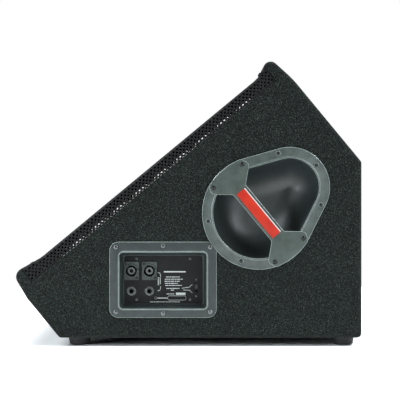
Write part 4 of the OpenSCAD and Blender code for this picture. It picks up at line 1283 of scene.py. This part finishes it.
def make_dish():
    place = side_place(DISH_AT, 0, -1)
    dish = piece("connector_dish_moulding", moved(dish_shape(), place), "dish_plastic",
                 ["connector_dish"], sharp=40)
    paint_edge_highlights(dish, HALF_WIDTH + DISH_FLANGE_T - RIM_EDGE)
    marks = shifted(plate_marks(), *MARKS_SHIFT)
    piece("connector_plate_marks", moved(marks, place), "white_ink")
    head = pan_head(*DISH_HEAD)
    heads = [shifted(turned(head, 20 + 31 * i), x, y, DISH_FLANGE_T)
             for i, (x, y) in enumerate(DISH_SCREWS)]
    piece("dish_screw_heads", moved(merged(heads), place), "bright_screw", ["dish_screws"], sharp=30)


# ---- Wadding ----

WADDING_STEP = 6
WADDING_ROLL = 12         # how far in from its edges the pad reaches its full thickness
QUILTS = (4, 2)           # tufts across and up


def make_wadding():
    """A quilted pad of loose fibre in the space that the frame holds for it."""
    low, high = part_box("damping_wadding")
    low, high = low / MM, high / MM
    size = high - low
    ny, nz = round(size.y / WADDING_STEP), round(size.z / WADDING_STEP)
    points, faces = [], []
    for layer, sign in ((low.x, -1), (high.x, 1)):
        start = len(points)
        for j in range(ny + 1):
            for k in range(nz + 1):
                fy, fz = j / ny, k / nz
                edge = min(fy, 1 - fy) * size.y, min(fz, 1 - fz) * size.z
                swell = min(1, min(edge) / WADDING_ROLL) ** 0.5
                tuck = abs(math.sin(math.pi * fy * QUILTS[0])) * abs(math.sin(math.pi * fz * QUILTS[1]))
                half = size.x / 2 * (0.25 + 0.6 * swell * (0.55 + 0.45 * tuck ** 0.5))
                y, z = low.y + fy * size.y, low.z + fz * size.z
                half += 0.8 * noise.noise(Vector((y, z, layer)) / 7)
                points.append(((low.x + high.x) / 2 + sign * min(half, size.x / 2), y, z))
        faces += grid_faces(ny, nz, start)
    row = nz + 1
    rim = [*range(nz), *range(nz, ny * row + nz, row), *range(ny * row + nz, ny * row, -1),
           *range(ny * row, 0, -row)]
    faces += band(rim, [i + (ny + 1) * row for i in rim])
    pad = piece("wadding_pad", (points, faces), "wadding", ["damping_wadding"], sharp=180)


# ---- Stage ----

CAMERA_AT = (0.0189, -2.38, 0.245)
LENS = 117.5
FLOOR_REACH = 1.3
DIM = 0.06               # what the white surroundings give as light; the camera sees them in full
AIM = (0.1, -0.15, 0.2)
COOL = (0.90, 0.96, 1.0)
SOFT_LIGHTS = [("key", (1.7, -2.0, 1.1), 1.2, 32),
               ("left", (-1.7, -1.65, 0.5), 0.9, 32),
               ("rim_right", (2.0, -0.42, 2.1), 0.7, 95),
               ("rim_left", (-1.7, -0.42, 1.9), 0.7, 50)]


def make_camera():
    data = bpy.data.cameras.new("camera")
    data.sensor_width = 36
    data.lens = LENS
    camera = shown("camera", data)
    camera.location = CAMERA_AT
    camera.rotation_euler = (math.radians(90), 0, 0)
    bpy.context.scene.camera = camera


def make_light(name, kind, place, aim, energy, **values):
    data = bpy.data.lights.new(name, kind)
    data.energy = energy
    for key, value in values.items():
        setattr(data, key, value)
    light = shown(name, data)
    light.location = place
    light.rotation_euler = (Vector(aim) - Vector(place)).to_track_quat("-Z", "Y").to_euler()


def make_floor():
    bm = bmesh.new()
    bmesh.ops.create_grid(bm, x_segments=24, y_segments=24, size=FLOOR_REACH)
    mesh = bpy.data.meshes.new("studio_floor")
    bm.to_mesh(mesh)
    bm.free()
    mesh.materials.append(floor_look())
    shown("studio_floor", mesh)


def make_world():
    """A dim studio that still shows white behind the object."""
    world = bpy.data.worlds.new("studio")
    world.use_nodes = True
    tree = world.node_tree
    tree.nodes["Background"].inputs["Color"].default_value = (1, 1, 1, 1)
    seen = tree.nodes.new("ShaderNodeLightPath").outputs["Is Camera Ray"]
    strength = tree.nodes.new("ShaderNodeMapRange")
    strength.inputs["To Min"].default_value = DIM
    tree.links.new(seen, strength.inputs["Value"])
    tree.links.new(strength.outputs[0], tree.nodes["Background"].inputs["Strength"])
    scene.world = world


def make_stage():
    make_floor()
    make_world()
    # the overhead light keeps the floor white out to its edge
    make_light("overhead", "SUN", (0, 0, 4), (0, 0, 0), 3.4, angle=math.radians(40))
    for name, place, size, power in SOFT_LIGHTS:
        make_light(name, "AREA", place, AIM, power, shape="DISK", size=size, color=COOL)
    scene.view_settings.view_transform = "Standard"
    scene.view_settings.look = "None"


make_camera()
make_flexing_ring("woofer_surround", "surround")
make_flexing_ring("woofer_spider", "spider")
make_carpet()
make_grille()
make_handles()
make_dish()
make_wadding()
make_stage()
